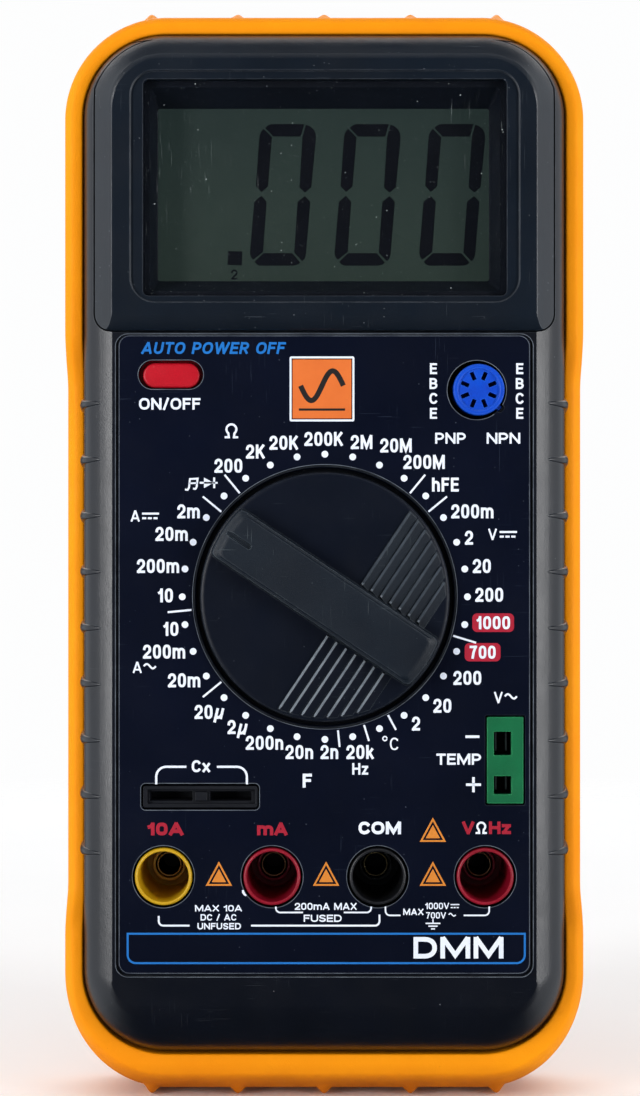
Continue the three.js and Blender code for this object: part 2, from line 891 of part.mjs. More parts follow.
// ---------------------------------------------------------------- battery
piece(
  "battery_9v",
  "battery",
  build(
    prism(
      roundRect(-29.1, 17.3, 59.0, 85.2, 3, 3, 3),
      2.4,
      19.6,
    ),
    [rodX(17.0, 20.0, 65.9, 11, 2.9, 14), rodX(17.0, 20.0, 78.3, 11, 2.9, 14)],
    [],
  ),
);
piece(
  "battery_snap",
  "abs_black",
  build(
    box(17.7, 24.2, 59.6, 84.6, 4.8, 17.2),
    [],
    [
      rodX(17.0, 21.0, 65.9, 11, 3.25, 14),
      rodX(17.0, 21.0, 78.3, 11, 3.25, 14),
    ],
  ),
);
piece(
  "battery_lead_red",
  "lead_red",
  wire(
    [
      [24.5, 63.5, 9.0],
      [27.0, 63.4, 9.0],
      [30.5, 61.5, 10.5],
      [31.6, 57.5, 12.4],
      [31.4, 54.0, 13.2],
      [31.2, 52.2, 12.0],
      [31.2, 51.8, 10.0],
    ],
    0.7,
    6,
    16,
  ),
);
piece(
  "battery_lead_black",
  "lead_black",
  wire(
    [
      [24.5, 68.0, 9.0],
      [28.0, 67.6, 9.0],
      [34.0, 63.5, 10.5],
      [35.4, 58.0, 12.4],
      [35.2, 54.0, 13.2],
      [35.0, 52.2, 12.0],
      [35.0, 51.8, 10.0],
    ],
    0.7,
    6,
    16,
  ),
);

// ---------------------------------------------------------------- holster
// Stations round the case outline, each with its outward normal.
function stations() {
  const out = [];
  const k = 5;
  const add = (x, y, nx, ny) => out.push({ x, y, nx, ny });
  const corner = (cx, cy, a0) => {
    for (let i = 0; i <= k; i++) {
      const a = ((a0 + (90 * i) / k) * Math.PI) / 180;
      add(cx + CASE_R * Math.cos(a), cy + CASE_R * Math.sin(a), Math.cos(a), Math.sin(a));
    }
  };
  const [X, T, B, R] = [CASE_HALF_W, CASE_TOP, CASE_BOTTOM, CASE_R];
  corner(X - R, T - R, 0);
  corner(-X + R, T - R, 90);
  for (const y of [39.5, 36.2, 32.4, 29.0]) add(-X, y, -1, 0);
  for (const y of [-64.0, -66.8, -69.6, -72.4]) add(-X, y, -1, 0);
  corner(-X + R, B + R, 180);
  corner(X - R, B + R, 270);
  for (const y of [-72.4, -69.6, -66.8, -64.0]) add(X, y, 1, 0);
  for (const y of [29.0, 32.4, 36.2, 39.5]) add(X, y, 1, 0);
  return out;
}
const smooth = (t) => {
  const c = Math.min(1, Math.max(0, t));
  return c * c * (3 - 2 * c);
};
function rimAt(s) {
  if (Math.abs(s.nx) < 0.999) return RIM_HIGH;
  const up = smooth((s.y - 29.0) / 10.5);
  const down = smooth((-64.0 - s.y) / 8.4);
  return RIM_LOW + (RIM_HIGH - RIM_LOW) * Math.max(up, down);
}
const ring = stations().map((s) => {
  const rim = rimAt(s);
  const foot = Math.max(0, -s.ny) ** 1.5,
    head = Math.max(0, s.ny) ** 1.5;
  const t = HOL_SIDE + (HOL_BOTTOM - HOL_SIDE) * foot + (HOL_TOP - HOL_SIDE) * head;
  const crest = 2.2 + 1.6 * foot;
  const dip = (RIM_HIGH - rim) / (RIM_HIGH - RIM_LOW);
  const inner = GAP + 0.45 * dip;
  const section = [
    [inner, HOL_BACK + 1.2],
    [inner, rim - 1.0],
    [inner + 0.7, rim],
    [crest, rim - 0.2],
    [Math.min(t, crest + 1.2), rim - 1.9],
    [t, Math.min(16.5, rim - 3.4)],
    [t, 1.6],
    [t - 1.2, -1.6],
    [t - 3.2, HOL_BACK],
    [inner - 2.0, HOL_BACK],
  ];
  return section.map(([d, z]) => [s.x + s.nx * d, s.y + s.ny * d, z]);
});
let holster = solid(loop(ring));
holster = holster.add(
  solid(prism(level(0, -0.1, -0.1, -0.1, 15.2).map(([x, y]) => [x, y]), HOL_BACK, -GAP)),
);
// foot and head ribs
for (const x of NUB_X) {
  const w = 1.25;
  holster = holster.add(
    solid(
      loft([
        [[x - w, FOOT_Y, -2.4], [x + w, FOOT_Y, -2.4], [x + w + 0.8, -98, -2.4], [x - w - 0.8, -98, -2.4]],
        [[x - w, FOOT_Y, 16.0], [x + w, FOOT_Y, 16.0], [x + w + 0.8, -98, 16.0], [x - w - 0.8, -98, 16.0]],
        [[x - w * 0.6, -101.2, 19.0], [x + w * 0.6, -101.2, 19.0], [x + w, -98, 19.0], [x - w, -98, 19.0]],
      ]),
    ),
  );
  holster = holster.add(
    solid(
      loft([
        [[x - w, HEAD_Y, -1.0], [x + w, HEAD_Y, -1.0], [x + w + 0.6, 96, -1.0], [x - w - 0.6, 96, -1.0]],
        [[x - w, HEAD_Y, 16.5], [x + w, HEAD_Y, 16.5], [x + w + 0.6, 96, 16.5], [x - w - 0.6, 96, 16.5]],
        [[x - w * 0.5, 97.6, 20.0], [x + w * 0.5, 97.6, 20.0], [x + w, 96, 20.0], [x - w, 96, 20.0]],
      ]),
    ),
  );
}
// probe channels along both edges of the back
for (const side of [-1, 1]) {
  const c = side * RAIL_X;
  holster = holster
    .add(solid(box(c - 6.4, c + 6.4, -68, 62, RAIL_Z, -2.0)))
    .subtract(solid(rodY(c, -7.7, 4.6, -70, 56, 18)));
}
// lugs for the stand, with blind holes for its pins, and the hanging slots above them
for (const side of [-1, 1]) {
  const [a, b] = side > 0 ? [26.2, 32.6] : [-32.6, -26.2];
  holster = holster.add(solid(box(a, b, 45.4, 54.6, RAIL_Z, -2.0)));
  const [c, d] = side > 0 ? [20, 30.6] : [-30.6, -20];
  holster = holster.subtract(solid(rodX(c, d, STAND_Y, STAND_Z, 1.8, 16)));
  const s = side * 11.5;
  holster = holster.subtract(solid(box(s - 3.4, s + 3.4, 68.0, 71.4, -10, 1)));
}
piece("holster", "rubber_orange", back(holster));

// ---------------------------------------------------------------- stands
let stand = solid(
  prism(roundRect(-25.4, 25.4, -46, 48.6, 1.5, 9, 4), -7.6, -3.5),
);
stand = stand
  .add(solid(rodX(-25.7, 25.7, STAND_Y, STAND_Z, 2.7, 16)))
  .add(solid(rodX(-30.2, 30.2, STAND_Y, STAND_Z, 1.5, 12)))
  .add(solid(box(-18, 18, -45.6, -41.6, -9.2, -4)))
  .subtract(solid(prism(roundRect(-13.4, 13.4, -33.4, 28.6, 1.5, 5, 3), -20, 0)))
  .subtract(solid(box(-15.9, 15.9, SMALL_Y - 1.6, SMALL_Y + 1.6, -7.2, -4.0)));
piece("large_stand", "abs_dark", back(stand));
let small = solid(
  prism(roundRect(-12.9, 12.9, -30.6, 25.4, 1.0, 4.6, 3), -7.3, -3.9),
);
small = small
  .add(solid(rodX(-15.6, 15.6, SMALL_Y, SMALL_Z, 1.3, 12)))
  .subtract(solid(prism(roundRect(-7.4, 7.4, -24.0, 16.0, 2, 3, 3), -20, 0)));
piece("small_stand", "abs_dark", back(small));

// ---------------------------------------------------------------- upright placing
const root = new THREE.Group();
const upright = new THREE.Group();
upright.rotation.x = Math.PI / 2;
upright.add(flat);
const KNOB_TO_BACK = (KNOB_TOP_Z + RAIL_Z) / 2;
upright.position.set(0, KNOB_TO_BACK, -FOOT_Y);
root.add(upright);

export default root;
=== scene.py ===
import math

import bpy
import numpy as np
from mathutils import Matrix, Vector


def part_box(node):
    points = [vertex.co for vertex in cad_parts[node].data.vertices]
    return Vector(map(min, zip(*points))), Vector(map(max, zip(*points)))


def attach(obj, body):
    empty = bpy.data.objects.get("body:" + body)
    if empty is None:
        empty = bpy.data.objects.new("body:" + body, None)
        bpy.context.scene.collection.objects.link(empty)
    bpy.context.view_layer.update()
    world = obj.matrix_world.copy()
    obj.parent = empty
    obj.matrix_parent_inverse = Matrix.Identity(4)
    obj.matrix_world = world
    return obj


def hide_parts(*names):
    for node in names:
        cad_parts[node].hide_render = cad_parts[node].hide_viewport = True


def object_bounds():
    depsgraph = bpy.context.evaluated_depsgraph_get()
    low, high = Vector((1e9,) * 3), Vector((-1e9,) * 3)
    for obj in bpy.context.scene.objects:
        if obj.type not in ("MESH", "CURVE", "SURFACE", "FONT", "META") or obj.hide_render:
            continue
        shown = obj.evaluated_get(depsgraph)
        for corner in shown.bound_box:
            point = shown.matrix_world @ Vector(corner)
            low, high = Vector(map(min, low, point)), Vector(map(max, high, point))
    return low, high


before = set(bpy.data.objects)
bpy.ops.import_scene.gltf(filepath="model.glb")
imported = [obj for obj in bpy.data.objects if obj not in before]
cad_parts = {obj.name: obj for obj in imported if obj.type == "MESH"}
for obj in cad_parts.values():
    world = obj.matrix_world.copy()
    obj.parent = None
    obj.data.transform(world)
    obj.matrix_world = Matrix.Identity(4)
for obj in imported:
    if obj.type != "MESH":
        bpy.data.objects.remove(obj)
CAD_LO, CAD_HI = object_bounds()

# ---------------------------------------------------------------- drawing frame
# The pieces are drawn in millimetres in the meter's own flat frame: u to the right, v along its
# length, w out of its face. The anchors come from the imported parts.
knob_lo, knob_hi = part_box("selector_knob")
hol_lo, hol_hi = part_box("holster")
YC = knob_lo.y * 1000 + 35.0
ZC = hol_lo.z * 1000 + 103.5
TO_WORLD = Matrix(
    (
        (0.001, 0, 0, 0),
        (0, 0, -0.001, YC / 1000),
        (0, 0.001, 0, ZC / 1000),
        (0, 0, 0, 1),
    )
)


def flat_box(node):
    """u0 u1 v0 v1 w0 w1 of a CAD node, in millimetres."""
    lo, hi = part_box(node)
    return (
        lo.x * 1000,
        hi.x * 1000,
        lo.z * 1000 - ZC,
        hi.z * 1000 - ZC,
        YC - hi.y * 1000,
        YC - lo.y * 1000,
    )


LENS = flat_box("lcd_window")
LABEL = flat_box("panel_overlay")
BEZEL = flat_box("display_bezel")
KNOB = flat_box("selector_knob")
BUTTON = flat_box("power_button")
TEMP = flat_box("temp_socket")
CX = flat_box("cx_socket")
JACKS = {n: flat_box("jack_sleeve_" + n) for n in ("10a", "ma", "com", "vohm")}
JACK_X = {n: (b[0] + b[1]) / 2 for n, b in JACKS.items()}
JACK_Y = (JACKS["com"][2] + JACKS["com"][3]) / 2

CASE_X, CASE_T, CASE_B, CASE_R = 44.6, 94.3, -94.3, 15.4
PANEL = 29.5
DIAL = (0.1, -9.6)
FACE = LABEL[5]  # front of the label film

# ---------------------------------------------------------------- mesh helpers


def rrect(x0, x1, y0, y1, rt, rb=None, k=8):
    rb = rt if rb is None else rb
    pts = []
    for cx, cy, r, a0 in (
        (x1 - rt, y1 - rt, rt, 0),
        (x0 + rt, y1 - rt, rt, 90),
        (x0 + rb, y0 + rb, rb, 180),
        (x1 - rb, y0 + rb, rb, 270),
    ):
        for i in range(k + 1):
            a = math.radians(a0 + 90 * i / k)
            pts.append((cx + r * math.cos(a), cy + r * math.sin(a)))
    return np.array(pts)


def at(pts, w):
    p = np.asarray(pts, float)
    return np.column_stack([p, np.full(len(p), float(w))])


def oriented(V, F):
    """Faces turned outwards, for a closed skin."""
    V = np.asarray(V, float)
    vol = 0.0
    for f in F:
        a = V[f[0]]
        for i in range(1, len(f) - 1):
            b, c = V[f[i]], V[f[i + 1]]
            vol += (
                a[0] * (b[1] * c[2] - b[2] * c[1])
                - a[1] * (b[0] * c[2] - b[2] * c[0])
                + a[2] * (b[0] * c[1] - b[1] * c[0])
            )
    if vol < 0:
        F = [tuple(reversed(f)) for f in F]
    return V, [tuple(int(i) for i in f) for f in F]


def loft(rings):
    n = len(rings[0])
    V = np.concatenate([np.asarray(r, float) for r in rings])
    F = []
    for r in range(len(rings) - 1):
        a, b = r * n, (r + 1) * n
        for i in range(n):
            j = (i + 1) % n
            F.append((a + i, a + j, b + j, b + i))
    F.append(tuple(range(n - 1, -1, -1)))
    F.append(tuple(range((len(rings) - 1) * n, len(rings) * n)))
    return oriented(V, F)


def loop(stations):
    n, m = len(stations[0]), len(stations)
    V = np.concatenate([np.asarray(s, float) for s in stations])
    F = []
    for s in range(m):
        t = (s + 1) % m
        for i in range(n):
            j = (i + 1) % n
            F.append((s * n + i, s * n + j, t * n + j, t * n + i))
    return oriented(V, F)


def lathe(cx, cy, profile, n=96):
    """Turned skin round the w axis. A profile that starts and ends on the axis is closed by poles,
    any other profile closes on itself."""
    V, F, rows = [], [], []
    for r, w in profile:
        if r < 1e-9:
            rows.append([len(V)])
            V.append((cx, cy, w))
        else:
            rows.append(list(range(len(V), len(V) + n)))
            for i in range(n):
                a = 2 * math.pi * i / n
                V.append((cx + r * math.cos(a), cy + r * math.sin(a), w))
    pairs = list(zip(rows, rows[1:]))
    if len(rows[0]) > 1:
        pairs.append((rows[-1], rows[0]))
    for a, b in pairs:
        if len(a) == 1 and len(b) == 1:
            continue
        for i in range(n):
            j = (i + 1) % n
            if len(a) == 1:
                F.append((a[0], b[j], b[i]))
            elif len(b) == 1:
                F.append((a[i], a[j], b[0]))
            else:
                F.append((a[i], a[j], b[j], b[i]))
    return oriented(V, F)


def round_steps(r, k=3):
    """(inset, drop) pairs of a quarter round of radius r."""
    return [
        (r * (1 - math.sin(math.radians(90 * i / k))), r * (1 - math.cos(math.radians(90 * i / k))))
        for i in range(k + 1)
    ]


def slab(plan, w0, w1, top=0.0, bottom=0.0, k=3):
    """plan(inset) gives an outline; rounded edges at the top and the bottom."""
    rings = []
    if bottom > 0:
        for inset, drop in round_steps(bottom, k):
            rings.append(at(plan(inset), w0 + drop))
    else:
        rings.append(at(plan(0), w0))
    if top > 0:
        for inset, drop in reversed(round_steps(top, k)):
            rings.append(at(plan(inset), w1 - drop))
    else:
        rings.append(at(plan(0), w1))
    return loft(rings)


def hole(plan, w0, face, edge=0.2, k=3):
    """A cutter with a rounded mouth of size edge at the height face. plan(inset) as for slab."""
    rings = [at(plan(0), w0), at(plan(0), face - edge)]
    for i in range(1, k + 1):
        a = math.radians(90 * i / k)
        rings.append(at(plan(-edge * (1 - math.cos(a))), face - edge + edge * math.sin(a)))
    rings.append(at(plan(-edge), face + 6))
    return loft(rings)


def circle(cx, cy, r, n=96):
    a = np.linspace(0, 2 * math.pi, n, endpoint=False)
    return np.column_stack([cx + r * np.cos(a), cy + r * np.sin(a)])


def merge(*parts):
    V, F, base = [], [], 0
    for v, f in parts:
        V.append(np.asarray(v, float))
        F += [tuple(i + base for i in x) for x in f]
        base += len(v)
    return np.concatenate(V), F


def turned(part, deg, at_uv=(0, 0)):
    """Rotates a part about the w axis through the origin, then moves it."""
    v, f = part
    a = math.radians(deg)
    c, s = math.cos(a), math.sin(a)
    v = np.asarray(v, float)
    out = v.copy()
    out[:, 0] = v[:, 0] * c - v[:, 1] * s + at_uv[0]
    out[:, 1] = v[:, 0] * s + v[:, 1] * c + at_uv[1]
    return out, f


def box(x0, x1, y0, y1, w0, w1):
    return loft([at([(x0, y0), (x1, y0), (x1, y1), (x0, y1)], w) for w in (w0, w1)])


def rod_x(x0, x1, y, w, r, n=32, edge=0.0):
    prof = [(r, x0), (r, x1)]
    if edge:
        prof = [(r - edge, x0), (r, x0 + edge), (r, x1 - edge), (r - edge, x1)]
    a = np.linspace(0, 2 * math.pi, n, endpoint=False)
    return loft(
        [
            np.column_stack([np.full(n, x), y + q * np.cos(a), w + q * np.sin(a)])
            for q, x in prof
        ]
    )


def rod_y(x, w, r, y0, y1, n=48):
    a = np.linspace(0, 2 * math.pi, n, endpoint=False)
    return loft(
        [
            np.column_stack([x + r * np.cos(a), np.full(n, y), w + r * np.sin(a)])
            for y in (y0, y1)
        ]
    )


def temp(part, name="temp"):
    me = bpy.data.meshes.new(name)
    me.from_pydata([tuple(p) for p in part[0]], [], part[1])
    me.update()
    ob = bpy.data.objects.new(name, me)
    bpy.context.scene.collection.objects.link(ob)
    return ob


def boolean(part, steps):
    """part with each (operation, part) done in turn by the manifold solver, in millimetres."""
    ob = temp(part)
    tools = []
    for op, tool in steps:
        t = temp(tool)
        t.hide_render = True
        tools.append(t)
        m = ob.modifiers.new("b", "BOOLEAN")
        m.operation, m.object, m.solver = op, t, "MANIFOLD"
    dg = bpy.context.evaluated_depsgraph_get()
    me = bpy.data.meshes.new_from_object(ob.evaluated_get(dg))
    V = np.zeros(len(me.vertices) * 3)
    me.vertices.foreach_get("co", V)
    F = [tuple(p.vertices) for p in me.polygons]
    for o in [ob, *tools]:
        d = o.data
        bpy.data.objects.remove(o)
        bpy.data.meshes.remove(d)
    bpy.data.meshes.remove(me)
    if not F:
        raise RuntimeError("a boolean came out empty")
    return V.reshape(-1, 3), F


def show(name, part, material, body="meter", stands_for=(), sharp=28, weighted=False, smooth=True):
    me = bpy.data.meshes.new(name)
    me.from_pydata([tuple(p) for p in part[0]], [], part[1])
    me.transform(TO_WORLD)
    me.update()
    if smooth:
        me.polygons.foreach_set("use_smooth", [True] * len(me.polygons))
        me.set_sharp_from_angle(angle=math.radians(sharp))
    ob = bpy.data.objects.new(name, me)
    bpy.context.scene.collection.objects.link(ob)
    me.materials.append(material)
    if weighted:
        m = ob.modifiers.new("normals", "WEIGHTED_NORMAL")
        m.keep_sharp, m.weight = True, 80
    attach(ob, body)
    if stands_for:
        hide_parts(*stands_for)
    return ob


def spline(xs, ys):
    """Smooth curve through points, as a function."""
    xs, ys = np.asarray(xs, float), np.asarray(ys, float)
    d = np.gradient(ys, xs)

    def f(x):
        i = int(np.clip(np.searchsorted(xs, x) - 1, 0, len(xs) - 2))
        h = xs[i + 1] - xs[i]
        t = min(1.0, max(0.0, (x - xs[i]) / h))
        t2, t3 = t * t, t * t * t
        return (
            (2 * t3 - 3 * t2 + 1) * ys[i]
            + (t3 - 2 * t2 + t) * h * d[i]
            + (3 * t2 - 2 * t3) * ys[i + 1]
            + (t3 - t2) * h * d[i + 1]
        )

    return f


def smooth01(t):
    t = min(1.0, max(0.0, t))
    return t * t * (3 - 2 * t)


def chaikin(pts, rounds=2):
    p = np.asarray(pts, float)
    for _ in range(rounds):
        q = 0.75 * p[:-1] + 0.25 * p[1:]
        r = 0.25 * p[:-1] + 0.75 * p[1:]
        mid = np.empty((2 * len(q), p.shape[1]))
        mid[0::2], mid[1::2] = q, r
        p = np.vstack([p[:1], mid, p[-1:]])
    return p


# ---------------------------------------------------------------- material helpers


def C(r, g, b):
    def lin(v):
        v = v / 255
        return v / 12.92 if v <= 0.04045 else ((v + 0.055) / 1.055) ** 2.4

    return (lin(r), lin(g), lin(b), 1.0)


class Mat:
    def __init__(self, name):
        self.m = bpy.data.materials.new(name)
        self.m.use_nodes = True
        self.nt = self.m.node_tree
        self.nt.nodes.clear()
        self.out = self.nt.nodes.new("ShaderNodeOutputMaterial")
        self.b = self.nt.nodes.new("ShaderNodeBsdfPrincipled")
        self.link(self.b.outputs[0], self.out.inputs[0])
        self.tc = self.nt.nodes.new("ShaderNodeTexCoord").outputs["Object"]

    def link(self, a, b):
        self.nt.links.new(a, b)

    def put(self, socket, value):
        if hasattr(value, "is_output") or isinstance(value, bpy.types.NodeSocket):
            self.link(value, socket)
        else:
            socket.default_value = value

    def mapped(self, scale=(1, 1, 1), rot=(0, 0, 0)):
        n = self.nt.nodes.new("ShaderNodeMapping")
        self.link(self.tc, n.inputs[0])
        n.inputs["Scale"].default_value = scale
        n.inputs["Rotation"].default_value = tuple(math.radians(a) for a in rot)
        return n.outputs[0]

    def noise(self, scale, detail=2.0, rough=0.5, vec=None):
        n = self.nt.nodes.new("ShaderNodeTexNoise")
        self.link(vec or self.tc, n.inputs["Vector"])
        n.inputs["Scale"].default_value = scale
        n.inputs["Detail"].default_value = detail
        n.inputs["Roughness"].default_value = rough
        return n.outputs[0]

    def step(self, value, lo, hi, a=0.0, b=1.0):
        n = self.nt.nodes.new("ShaderNodeMapRange")
        n.clamp = True
        self.link(value, n.inputs[0])
        n.inputs[1].default_value, n.inputs[2].default_value = lo, hi
        n.inputs[3].default_value, n.inputs[4].default_value = a, b
        return n.outputs[0]

    def math(self, op, a, b):
        n = self.nt.nodes.new("ShaderNodeMath")
        n.operation = op
        self.put(n.inputs[0], a)
        self.put(n.inputs[1], b)
        return n.outputs[0]

    def mix(self, fac, a, b):
        n = self.nt.nodes.new("ShaderNodeMix")
        n.data_type = "RGBA"
        self.put(n.inputs[0], fac)
        self.put(n.inputs[6], a)
        self.put(n.inputs[7], b)
        return n.outputs[2]

    def specks(self, scale, size, share, seed=0.0):
        """Sparse small dots: scale in cells per metre, size in cells, share of the cells that have one."""
        m = self.nt.nodes.new("ShaderNodeVectorMath")
        m.operation = "ADD"
        self.link(self.tc, m.inputs[0])
        m.inputs[1].default_value = (seed, seed * 1.7, seed * 0.6)
        v = self.nt.nodes.new("ShaderNodeTexVoronoi")
        v.feature = "F1"
        self.link(m.outputs[0], v.inputs["Vector"])
        v.inputs["Scale"].default_value = scale
        near = self.step(v.outputs["Distance"], size, size * 0.55)
        s = self.nt.nodes.new("ShaderNodeSeparateColor")
        self.link(v.outputs["Color"], s.inputs[0])
        return self.math("MULTIPLY", near, self.math("GREATER_THAN", s.outputs[0], 1 - share))

    def scratches(self, rot, width=6000.0, length=140.0, cut=0.735, patch=60.0, across="x"):
        """Fine broken lines, in patches."""
        sc = (width, length, length) if across == "x" else (length, length, width)
        f = self.noise(1.0, 1.0, 0.4, self.mapped(sc, rot))
        line = self.step(f, cut, cut + 0.02)
        where = self.step(self.noise(patch, 1.0), 0.5, 0.6)
        return self.math("MULTIPLY", line, where)

    def wear_and_highlight(self, radius=0.00022, lo=0.012, hi=0.10):
        """Rubbed edges, also used as a painted edge highlight: where a slightly rounded normal leaves the true one,
        broken up by noise.
        """
        g = self.nt.nodes.new("ShaderNodeNewGeometry")
        r = self.nt.nodes.new("ShaderNodeBevel")
        r.samples = 4
        r.inputs[0].default_value = radius
        d = self.nt.nodes.new("ShaderNodeVectorMath")
        d.operation = "DOT_PRODUCT"
        self.link(g.outputs["Normal"], d.inputs[0])
        self.link(r.outputs[0], d.inputs[1])
        edge = self.step(d.outputs["Value"], 1 - lo, 1 - hi)
        return self.math("MULTIPLY", edge, self.step(self.noise(420.0, 3.0), 0.35, 0.65, 0.3, 1.0))

    def bump(self, parts):
        """parts: (height, strength, distance in metres)"""
        last = None
        for height, strength, distance in parts:
            n = self.nt.nodes.new("ShaderNodeBump")
            n.inputs["Strength"].default_value = strength
            n.inputs["Distance"].default_value = distance
            self.link(height, n.inputs["Height"])
            if last is not None:
                self.link(last, n.inputs["Normal"])
            last = n.outputs[0]
        self.link(last, self.b.inputs["Normal"])

    def set(self, **kw):
        names = {
            "color": "Base Color",
            "rough": "Roughness",
            "metal": "Metallic",
            "spec": "Specular IOR Level",
            "coat": "Coat Weight",
            "coat_rough": "Coat Roughness",
            "alpha": "Alpha",
            "trans": "Transmission Weight",
            "ior": "IOR",
            "sss": "Subsurface Weight",
            "sheen": "Sheen Weight",
            "sheen_rough": "Sheen Roughness",
        }
        for k, v in kw.items():
            self.put(self.b.inputs[names[k]], v)


def plastic(
    name,
    a,
    b,
    rough=(0.42, 0.55),
    grain=(4500.0, 0.25),
    patch=90.0,
    wear_and_highlight=None,
    wear_r=0.00022,
    dust=None,
    scratch=None,
    spec=0.5,
    coat=0.0,
    metal=0.0,
    uneven=0.08,
    dusty=1.0,
    marks=0.55,
    deep=None,
):
    """Moulded or machined surface: two-tone variation, fine grain, rubbed edges with a painted edge highlight, dust
    and scratches, and where asked a painted shade deeper in.
    """
    m = Mat(name)
    colour = m.mix(m.step(m.noise(patch, 3.0), 0.3, 0.7), C(*a), C(*b))
    fine = m.noise(grain[0], 3.0, 0.6)
    colour = m.mix(m.step(fine, 0.35, 0.75, 0.0, 0.35), colour, m.mix(0.5, colour, C(*[min(255, c * 1.3 + 1.5) for c in b])))
    r = m.step(m.noise(patch * 1.7, 4.0, 0.6), 0.3, 0.7, rough[0], rough[1])
    heights = [(fine, grain[1], 0.00012), (m.noise(260.0, 2.0), uneven, 0.0006)]
    if wear_and_highlight:
        # lighter edges: rubbed wear and a painted edge highlight
        colour = m.mix(m.math("MULTIPLY", m.wear_and_highlight(wear_r), 0.7), colour, C(*wear_and_highlight))
    if scratch:
        lines = m.math(
            "MAXIMUM",
            m.scratches((13, 24, 31), patch=70.0),
            m.scratches((-28, 10, -47), patch=95.0, across="z"),
        )
        colour = m.mix(m.math("MULTIPLY", lines, marks), colour, C(*scratch))
        heights.append((lines, 0.15, -0.00005))
    if dust:
        d = m.math("MAXIMUM", m.specks(330.0, 0.045, min(0.9, 0.10 * dusty)), m.specks(900.0, 0.07, min(0.9, 0.05 * dusty), 3.1))
        if dusty > 1:
            d = m.math("MAXIMUM", d, m.specks(1100.0, 0.13, 0.045 * dusty, 7.7))
        colour = m.mix(m.math("MULTIPLY", d, 0.6), colour, C(*dust))
    if deep:
        # painted shade: darker from one depth in the case to the next
        sep = m.nt.nodes.new("ShaderNodeSeparateXYZ")
        m.link(m.tc, sep.inputs[0])
        colour = m.mix(m.step(sep.outputs[1], (YC - deep[0]) / 1000, (YC - deep[1]) / 1000), colour, C(*deep[2]))
    m.set(color=colour, rough=r, spec=spec, coat=coat, metal=metal)
    m.bump(heights)
    return m.m


# ---------------------------------------------------------------- holster
N_STRAIGHT, N_CORNER, N_SIDE = 166, 68, 105
HOL_BACK, RIM_HIGH, RIM_LOW = -3.0, 23.5, 17.5
NUBS = (-32.4, -16.2, 0.0, 16.2, 32.4)
FOOT, HEAD = -103.5, 99.6


def case_stations(ns, nc, nd):
    """Points round the case outline with outward normals, anticlockwise from the right."""
    X, T, B, R = CASE_X, CASE_T, CASE_B, CASE_R
    out = []

    def corner(cx, cy, a0):
        for i in range(nc):
            a = math.radians(a0 + 90 * i / nc)
            out.append((cx + R * math.cos(a), cy + R * math.sin(a), math.cos(a), math.sin(a)))

    def line(x0, y0, x1, y1, nx, ny, n):
        for i in range(n):
            t = i / n
            out.append((x0 + (x1 - x0) * t, y0 + (y1 - y0) * t, nx, ny))

    corner(X - R, T - R, 0)
    line(X - R, T, -X + R, T, 0, 1, ns)
    corner(-X + R, T - R, 90)
    line(-X, T - R, -X, B + R, -1, 0, nd)
    corner(-X + R, B + R, 180)
    line(-X + R, B, X - R, B, 0, -1, ns)
    corner(X - R, B + R, 270)
    line(X, B + R, X, T - R, 1, 0, nd)
    return out


def rim_height(y, nx):
    if abs(nx) < 0.9999:
        return RIM_HIGH
    up = smooth01((y - 29.0) / 10.5)
    down = smooth01((-64.0 - y) / 8.4)
    return RIM_LOW + (RIM_HIGH - RIM_LOW) * max(up, down)


